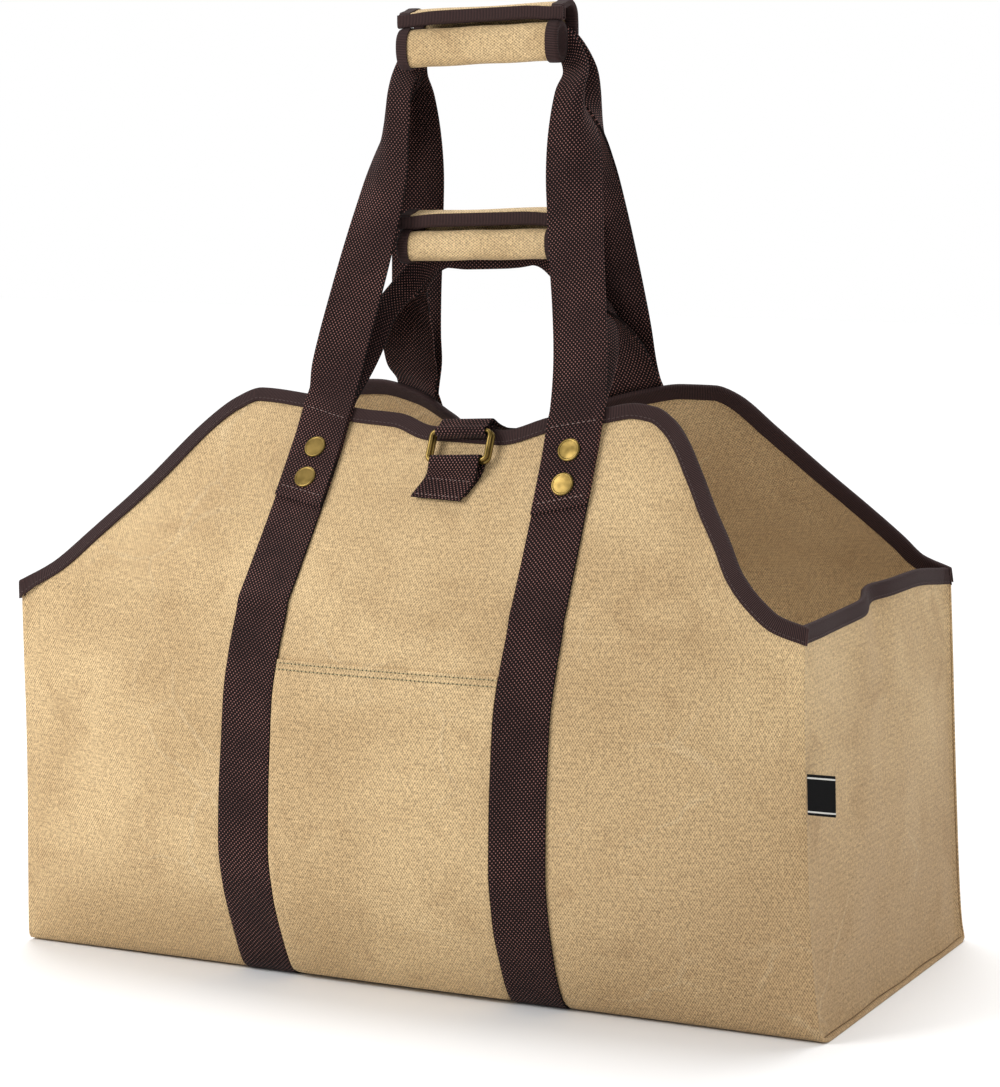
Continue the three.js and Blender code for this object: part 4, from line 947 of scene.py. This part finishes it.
def flapPath(grip):
    cover = handleMake["folded"] / 2 + 2.2 * bag["gap"] + gripMake["tapeWall"] + gripMake["flapWall"]
    rise = grip["roll"] / 2 + gripMake["clearance"]
    reach = rise - gripMake["fall"]
    back = grip["y"] + webbingSeat + webbingStep + cover
    front = grip["y"] - handleMake["rollDepth"] * 0.1
    return [
        (front, reach), (front + 0.4, reach + gripMake["tapeWidth"]),
        (front + (back - front) * 0.3, rise - 1),
        (front + (back - front) * 0.65, rise), (front + (back - front) * 0.92, rise - 5),
        (back, rise * 0.45), (back, 0), (back, -gripMake["tail"]),
    ]


for level, name in (("long", "upper"), ("short", "lower")):
    grip = gripPlace(level)
    half = handleMake["gripLength"] / 2
    edge = half - gripMake["rollInset"]
    rings = rollPoints(grip, 0, np.linspace(-edge, edge, gripMake["places"]))
    outward = (0, -1 if rings[20, 20, 1] < grip["y"] else 1, 0)
    sew(name + "GripRoll", rings, outward, gripMake["rollWall"], gripCanvas, "waxed_canvas",
        name + "_grip_roll", closed=True)
    for hand, end in hands:
        rings = np.concatenate([rollPoints(grip, grow, [end * (edge + x)]) for x, grow in rollTape])
        sew(name + "GripTape" + hand.capitalize(), rings, (end, 0, 0), gripMake["tapeWall"], binding,
            "binding_tape", name + "_grip_binding_" + hand, ribbonMap(rings)[..., ::-1], closed=True)
    path = smoothSections([[(0.0, y, z)] for y, z in flapPath(grip)], gripMake["spacing"])[:, 0]
    spots = np.linspace(-half, half, gripMake["places"])
    lift = handleMake["tilt"] * spots / handleMake["gripLength"]
    rows = []
    for k, (_, y, z) in enumerate(path):
        share = k / len(path)
        sway = gripMake["sway"] * np.sin(spots / 13 + grip["z"]) * math.sin(math.pi * share)
        sag = gripMake["sag"] * smoothStep(0.55, 1, np.abs(spots) / half)
        sag = sag * (1 - smoothStep(0.1, 0.35, share))
        rows.append(np.stack([grip["x"] + spots, y - sway, grip["z"] + z + lift + sway - sag], -1))
    rows = np.array(rows)
    sew(name + "GripFlap", rows, (0, 0, 1), gripMake["flapWall"], gripCanvas, "waxed_canvas",
        name + "_grip_flap", round=0.3)
    # tape over both ends of the flap, and over them along its front edge
    normals = gridNormals(rows)
    if normals[len(rows) // 2, 20, 2] < 0:
        normals = -normals
    tapes = []
    for hand, column, inward in (("L", 0, 1.0), ("R", -1, -1.0)):
        intos = np.tile((inward, 0, 0), (len(rows), 1))
        tapes.append(foldedTape(name + "FlapTape" + hand, rows[::2, column], normals[::2, column],
                                intos[::2], gripMake["flapWall"], gripMake["tapeWidth"]))
    front = rows[0, ::2].copy()
    front[0, 0] -= 1.5
    front[-1, 0] += 1.5
    tapes.append(foldedTape(name + "FlapTape", front, normals[0, ::2], unit(rows[1, ::2] - rows[0, ::2]),
                            gripMake["flapWall"], gripMake["tapeWidth"], 0.9))
    deselectAll()
    for tape in tapes:
        tape.select_set(True)
    bpy.context.view_layer.objects.active = tape
    bpy.ops.object.join()
    dress(tape, binding, "binding_tape", name + "_flap_binding")
print("scene: grips sewn")

# Clasp: two brass rings, a tab on the front and the strap that comes over from the back
claspMake = {"x": 19.0, "width": 48.0, "height": 23.0, "wire": 3.2, "corner": 3.2, "spacing": 3.7,
             "drop": 15.0, "tab": 27.0, "slant": 0.5, "tail": 45.0, "across": 9, "seat": 0.9}
claspU = shareAt(claspMake["x"])
wireRadius = claspMake["wire"] / 2
onWall = claspMake["seat"] + halfWeb
rimTop = bag["gap"] + bindingMake["thickness"] + claspMake["seat"] + halfWeb
barReach = wireRadius + bag["gap"] + halfWeb
upperBarOut = rimTop + barReach
lowerBarOut = claspMake["seat"] + strapLines["thickness"] + bag["gap"] + wireRadius
upperBarDrop = claspMake["drop"] - claspMake["height"] / 2 + wireRadius
lowerBarDrop = claspMake["drop"] + claspMake["height"] / 2 - wireRadius
claspOrigin, _, upperOut = clothSpot(-1, claspU, 0.0)
lowPoint, _, lowOut = clothSpot(-1, claspU, 18.0)
claspOut = unit(upperOut + lowOut)
claspDown = lowPoint - claspOrigin
claspDown = unit(claspDown - claspOut * claspDown.dot(claspOut))
claspAcross = np.cross(claspDown, claspOut)
claspAcross *= np.sign(claspAcross[0])


def onClasp(a, h, d):
    return claspOrigin + claspAcross * a + claspOut * h + claspDown * d


def standAt(piece, place, *axes):
    # turns a piece that was made at the origin onto three directions, and sets it in its place
    turn = Matrix([[*map(float, row)] for row in np.stack(axes, 1)]).to_4x4()
    piece.matrix_world = Matrix.Translation(Vector(inFrame(place))) @ turn
    makeActive(piece)
    bpy.ops.object.transform_apply(location=True, rotation=True, scale=True)


def makeRing(name, index):
    # a plate's outline with rounded corners, given the wire's thickness
    deselectAll()
    bpy.ops.mesh.primitive_plane_add(size=1.0, location=(0, 0, 0))
    editAll()
    sides = [(claspMake[key] - claspMake["wire"]) * 0.001 for key in ("width", "height")]
    bpy.ops.transform.resize(value=(*sides, 1))
    bpy.ops.mesh.bevel(offset=claspMake["corner"] * 0.001, segments=7, affect="VERTICES")
    bpy.ops.mesh.select_all(action="SELECT")
    bpy.ops.mesh.delete(type="ONLY_FACE")
    bpy.ops.mesh.select_all(action="SELECT")
    mergeSpots()
    endEdit()
    bpy.ops.object.convert(target="CURVE")
    wire = bpy.context.object.data
    wire.bevel_depth = wireRadius * 0.001
    wire.bevel_resolution = 6
    wire.use_fill_caps = False
    bpy.ops.object.convert(target="MESH")
    ring = bpy.context.object
    ring.name = name
    ring.data.name = name
    tilt = (upperBarOut - lowerBarOut) / (lowerBarDrop - upperBarDrop)
    up = unit(-claspDown + claspOut * tilt)
    out = (upperBarOut + lowerBarOut) / 2 + index * claspMake["spacing"]
    standAt(ring, onClasp(0, out, claspMake["drop"]), claspAcross, up, np.cross(claspAcross, up))
    editAll()
    mergeSpots()
    bpy.ops.mesh.normals_make_consistent(inside=False)
    endEdit()
    bpy.ops.object.shade_smooth_by_angle(angle=math.radians(60))
    return ring


dress(makeRing("claspRingInner", 0), brass, "antique_brass", "clasp_ring_inner")
dress(makeRing("claspRingOuter", 1), brass, "antique_brass", "clasp_ring_outer")

acrossTab = np.linspace(-strapLines["half"], strapLines["half"], claspMake["across"])


def barTurn(out, drop, turn):
    # half a turn of webbing round the bars of both rings
    points = []
    for angle, bar in ((0, 0), (30, 0), (60, 0), (90, 0), (90, 1), (120, 1), (150, 1), (180, 1)):
        a = math.radians(angle)
        points.append((out + bar * claspMake["spacing"] - barReach * math.cos(a),
                       drop + turn * barReach * math.sin(a)))
    return points


def sewnRow(side, a, h, d):
    spots = [clothSpot(side, claspU + shareAt(shift), max(d, 0.1)) for shift in a]
    return [point + out * h for point, _, out in spots]


def rimRow(side, h, d):
    spots = [clothSpot(side, claspU + shareAt(shift), 0.1) for shift in acrossTab]
    return [point + out * h + down * d for point, down, out in spots]


def looseRow(h, d, slide=0.0):
    return [onClasp(a + slide, h, d) for a in acrossTab]


def sewWebbing(name, rows, spacing, outward, node):
    sections = smoothSections(rows, spacing)
    sew(name, sections, outward, strapLines["thickness"], webbing, "webbing", node, offset=0.0, round=0.35)


def tabSections():
    over = onWall + strapLines["thickness"] + bag["gap"]

    def slide(d):
        return -claspMake["slant"] * max(d - lowerBarDrop - 4, 0)

    def sewn(*places):
        return [sewnRow(-1, acrossTab + slide(lowerBarDrop + d), h, lowerBarDrop + d) for h, d in places]
    rows = sewn((onWall, claspMake["tab"] - 4), (onWall, 18), (onWall, 8))
    rows += [looseRow(h, d, slide(d)) for h, d in barTurn(lowerBarOut, lowerBarDrop, -1)]
    rows.append(looseRow(lowerBarOut + claspMake["spacing"] + 1, lowerBarDrop + 5, slide(lowerBarDrop + 5)))
    return rows + sewn((over + halfWeb, 11), (over, 17), (over, claspMake["tab"]))


def securityRows():
    layer = rimTop + strapLines["lift"]
    topBar = upperBarOut + claspMake["spacing"]
    tape = bindingMake["width"]
    overFront = np.array(looseRow(-12, -layer - 2))
    overBack = np.array(rimRow(1, -bag["cloth"] - 4, -rimTop - 1))
    rows = [rimRow(-1, h, d) for h, d in (
        (-9, -rimTop - 0.9), (-3, -rimTop - 0.4), (rimTop - 0.6, -rimTop + 0.2), (rimTop, 1))]
    rows += [looseRow(h, d) for h, d in (
        *barTurn(upperBarOut, upperBarDrop, 1), (topBar + barReach * 0.86, upperBarDrop - barReach * 0.7),
        (topBar, upperBarDrop - barReach * 1.15), (upperBarOut, -layer), (-2, -layer - 0.4))]
    rows += [overFront, (overFront + overBack) / 2 + np.array([0, 0, 1.0]), overBack]
    rows += [rimRow(1, h, d) for h, d in ((-1, -rimTop - 0.4), (rimTop - 0.5, -rimTop + 0.2),
                                          (rimTop + 0.1, tape * 0.3))]
    return rows + [sewnRow(1, acrossTab, h, d) for h, d in (
        (rimTop, tape * 1.15), (onWall, claspMake["tail"] * 0.5), (onWall, claspMake["tail"]))]


sewWebbing("claspTab", tabSections(), 1.6, -claspOut, "clasp_tab")
sewWebbing("securityStrap", securityRows(), 1.8, (0, 0, 1), "security_strap")
print("scene: clasp closed")

# Rivet caps, one modelled and copied
rivetMake = {
    "radius": 7.7, "height": 2.2, "stand": 0.15, "drops": {"left": (36.0, 59.0), "right": (26.0, 49.0)},
    "dish": ((0.07, 0), (0.03, -0.07), (0.35, 0.03)),        # shares of the radius and of the height
}


def makeRivet():
    deselectAll()
    radius, height = rivetMake["radius"] * 0.001, rivetMake["height"] * 0.001
    bpy.ops.mesh.primitive_cylinder_add(vertices=48, radius=radius, depth=height * 0.62,
                                        location=(0, 0, height * 0.31))
    rivet = bpy.context.object
    bpy.ops.object.transform_apply(location=True, rotation=False, scale=False)
    bpy.ops.object.mode_set(mode="EDIT")
    bpy.ops.mesh.select_mode(type="FACE")
    bpy.ops.mesh.select_all(action="DESELECT")
    endEdit()
    for face in rivet.data.polygons:
        face.select = face.normal.z > 0.9
    bpy.ops.object.mode_set(mode="EDIT")
    bpy.ops.mesh.bevel(offset=height * 0.42, segments=4, affect="EDGES", profile=0.6)
    endEdit()
    for face in rivet.data.polygons:
        face.select = face.normal.z > 0.99 and len(face.vertices) > 8
    bpy.ops.object.mode_set(mode="EDIT")
    for inset, lift in rivetMake["dish"]:
        bpy.ops.mesh.inset(thickness=radius * inset)
        bpy.ops.transform.translate(value=(0, 0, height * lift))
    endEdit()
    bpy.ops.object.shade_smooth_by_angle(angle=math.radians(35))
    return rivet


rivetModel = makeRivet()
rivetStand = bag["gap"] + strapLines["lift"] + strapLines["thickness"] + rivetMake["stand"]
for face, side in faces:
    for hand, sign in hands:
        for level, drop in zip(("upper", "lower"), rivetMake["drops"][hand]):
            point, down, out = clothSpot(side, shareAt(sign * strapLines["middle"]), drop)
            rivet = rivetModel.copy()
            rivet.data = rivetModel.data.copy()
            bpy.context.collection.objects.link(rivet)
            rivet.name = "rivet" + face.capitalize() + hand.capitalize() + level.capitalize()
            rivet.data.name = rivet.name
            beside = np.cross(down, out)
            standAt(rivet, point + out * (rivetStand + rimLift(drop)), beside, np.cross(out, beside), out)
            dress(rivet, brass, "antique_brass", "rivet_" + face + "_" + hand + "_" + level)
bpy.data.objects.remove(rivetModel, do_unlink=True)
print("scene: rivets set")

# Plain woven label in the front right seam
labelMake = {"width": 18.0, "height": 25.0, "thickness": 1.0, "place": 155.0, "curl": 0.5}
labelRows = []
for share in np.linspace(0.5, -0.5, 13):
    height = labelMake["place"] + share * labelMake["height"]
    seam = alongColumn(columnAt(1.0), frontRun(columnAt(1.0), height))
    reach = np.linspace(bag["gap"], labelMake["width"], 10)
    curl = labelMake["curl"] * np.sin(reach / labelMake["width"] * 2.4) * (0.5 - share)
    labelRows.append(np.stack([seam[0] + reach, seam[1] + 1.0 + reach * 0.06 - curl,
                               np.full_like(reach, seam[2])], -1))
labelRows = np.array(labelRows)
labelFlat = np.stack([labelRows[..., 0] - labelRows[:, :1, 0], labelRows[..., 2] - labelMake["place"]], -1)
label = labelFinish("blackLabel", labelLook, labelMake["height"] * 0.001)
sew("sideLabel", labelRows, (0, -1, 0), labelMake["thickness"], label, "label_cloth", "side_label", labelFlat,
    offset=0.0, round=0.25)
print("scene: label in its seam")

# Stitches, one modelled and set along each seam
stitchMake = {"length": 2.6, "gap": 0.9, "radius": 0.32, "sunk": 0.12}
deselectAll()
bpy.ops.mesh.primitive_uv_sphere_add(segments=6, ring_count=4, radius=1.0)
stitchModel = bpy.context.object
editAll()
bpy.ops.transform.resize(value=(stitchMake["radius"] * 0.001, stitchMake["radius"] * 0.001,
                                stitchMake["length"] * 0.0005))
endEdit()


def sewAlong(name, line, outs, finish, slotName, size=1.0, pitch=None, shift=0.5):
    # line and outs in millimetres; the stitches follow the line and lie on the cloth
    line, outs = np.array(line, float), np.array(outs, float)
    run = runAlong(line)
    pitch = pitch or (stitchMake["length"] + stitchMake["gap"]) * size
    count = max(int(run[-1] / pitch), 1)
    model = np.array([v.co[:] for v in stitchModel.data.vertices])
    faces = [tuple(f.vertices) for f in stitchModel.data.polygons]
    points, sides = [], []
    for k, spot in enumerate((np.arange(count) + shift) * run[-1] / count):
        ahead = unit(pointAt(line, run, spot + 1) - pointAt(line, run, spot - 1))
        beside = unit(np.cross(pointAt(outs, run, spot), ahead))
        out = np.cross(ahead, beside)
        place = inFrame(pointAt(line, run, spot) + out * stitchMake["sunk"])
        points.append(place + (model * size) @ np.stack([beside, out, ahead]))
        sides += [tuple(v + k * len(model) for v in f) for f in faces]
    mesh = bpy.data.meshes.new(name)
    mesh.from_pydata(np.concatenate(points).tolist(), [], sides)
    row = bpy.data.objects.new(name, mesh)
    bpy.context.collection.objects.link(row)
    makeActive(row)
    editAll()
    bpy.ops.mesh.normals_make_consistent(inside=False)
    endEdit()
    bpy.ops.object.shade_smooth()
    return dress(row, finish, slotName)


hemMake = {"drops": (2.4, 6.6), "pitch": 2.9, "stitch": 0.9, "hole": (2.2, 1.0, 0.36), "holeShift": 0.02}
for k, drop in enumerate(hemMake["drops"]):
    outs = pocketNormals[2]
    line = [alongColumn(columnAt(u), frontRun(columnAt(u), onPanel["pocketHem"]) + drop) for u in pocketUs]
    line = np.array(line) + outs * (bag["gap"] + onPanel["pocketThickness"])
    sewAlong("hemStitches" + str(k + 1), line, outs, paleThread, "waxed_canvas", hemMake["stitch"],
             hemMake["pitch"])
    # painted shade of the needle holes, between the stitches
    sewAlong("hemHoleShades" + str(k + 1), line, outs, needleHoleShade, "waxed_canvas", hemMake["hole"],
             hemMake["pitch"], hemMake["holeShift"])

for face, (edge, outs, intos) in rimEdges.items():
    line = edge + outs * 1.42 + intos * (bindingMake["width"] - 2.0)
    sewAlong(face + "RimStitches", line, outs, brownThread, "binding_tape", 0.9)

for k, drop in enumerate((lowerBarDrop + 13, lowerBarDrop + claspMake["tab"] - 2.4)):
    slid = acrossTab * 0.88 - claspMake["slant"] * (drop - lowerBarDrop - 4)
    line = sewnRow(-1, slid, lowerBarOut - wireRadius + 1.75 - 0.3 * k, drop)
    sewAlong("tabStitches" + str(k + 1), line, [claspOut] * len(line), boxThread, "webbing", 0.7, 3.2)

for face, side in faces:
    for hand, sign in hands:
        for place, share in (("Upper", 0.14), ("Lower", 0.97)):
            line, outs = [], []
            for k in np.linspace(-0.86, 0.86, 15):
                u = shareAt(sign * strapLines["middle"] + k * strapLines["half"])
                drop = boxDrop(u) * share
                point, _, out = clothSpot(side, u, drop)
                line.append(point + out * (rivetStand - 0.1 + rimLift(drop)))
                outs.append(out)
            name = "box" + face.capitalize() + hand.capitalize() + place + "Stitches"
            sewAlong(name, line, outs, boxThread, "webbing", 0.8, 3.4)
bpy.data.objects.remove(stitchModel, do_unlink=True)
print("scene: seams stitched")

# Floor, light and camera
floorLook = {"size": 14.0, "light": (241, 241, 241), "deep": (238, 238, 238), "roughness": 0.9}
deselectAll()
bpy.ops.mesh.primitive_plane_add(size=floorLook["size"], location=(0, 0, 0))
floor = bpy.context.object
floor.name = "paleFloor"
floorFinish, shader = newFinish("palePaper", floorLook["roughness"])
grain = noiseAt(spaceCoordinates(), 3.0, 2.0)
feed(shader, {"Base Color": mixColours(spread(grain, 0.2, 0.8), floorLook["deep"],
                                             floorLook["light"])})
floor.data.materials.append(floorFinish)

world = bpy.context.scene.world or bpy.data.worlds.new("studio")
bpy.context.scene.world = world
world.use_nodes = True
drawing["tree"] = world.node_tree
# a white backdrop behind softer light
seen = addNode("ShaderNodeLightPath")["Is Camera Ray"]
skyLight = {"round": 0.47, "behind": 1.0}
feed(world.node_tree.nodes["Background"], {
    "Color": (1.0, 1.0, 1.0, 1.0), "Strength": spread(seen, 0.0, 1.0, skyLight["round"], skyLight["behind"])})

softBoxes = [
    {"name": "keyBox", "place": (-1.05, -1.3, 1.1), "aim": (-0.5, -0.1, 0.45), "size": 0.9, "power": 24},
    {"name": "fillBox", "place": (2.4, -0.3, 1.2), "aim": (0.29, 0, 0.2), "size": 1.2, "power": 11},
    {"name": "insideGlow", "place": (0.12, -0.02, 0.09), "aim": (0.16, 0.12, 0.36), "size": 0.12, "power": 0.17},
]
for box in softBoxes:
    deselectAll()
    bpy.ops.object.light_add(type="AREA", location=box["place"])
    light = bpy.context.object
    light.name = box["name"]
    light.data.shape = "SQUARE"
    light.data.size = box["size"]
    light.data.energy = box["power"]
    light.visible_camera = False
    light.rotation_euler = (Vector(box["aim"]) - Vector(box["place"])).to_track_quat("-Z", "Y").to_euler()

deselectAll()
bpy.ops.object.light_add(type="SUN", location=(0, 0, 3))
overheadLook = {"power": 2.6, "spread": 46, "turn": (-25, -6, 0)}
overhead = bpy.context.object
overhead.name = "overheadLight"
overhead.data.energy = overheadLook["power"]
overhead.data.angle = math.radians(overheadLook["spread"])
overhead.rotation_euler = [math.radians(angle) for angle in overheadLook["turn"]]

view = {"place": (0.918, -1.887, 0.547), "azimuth": 25.96, "elevation": 7.38, "focal": 3129 * 36 / 1087}
deselectAll()
bpy.ops.object.camera_add(location=view["place"])
camera = bpy.context.object
camera.name = "photoCamera"
azimuth, elevation = math.radians(view["azimuth"]), math.radians(view["elevation"])
backwards = Vector((math.sin(azimuth) * math.cos(elevation), -math.cos(azimuth) * math.cos(elevation),
                    math.sin(elevation)))
rightwards = Vector((math.cos(azimuth), math.sin(azimuth), 0))
upwards = backwards.cross(rightwards)
camera.matrix_world = Matrix.Translation(Vector(view["place"])) @ Matrix(
    (rightwards, upwards, backwards)).transposed().to_4x4()
camera.data.lens = view["focal"]
camera.data.sensor_width = 36
camera.data.sensor_fit = "AUTO"
camera.data.dof.use_dof = False
camera.data.clip_start = 0.05
bpy.context.scene.camera = camera
bpy.context.scene.view_settings.view_transform = "Standard"
print("scene: lit and framed")
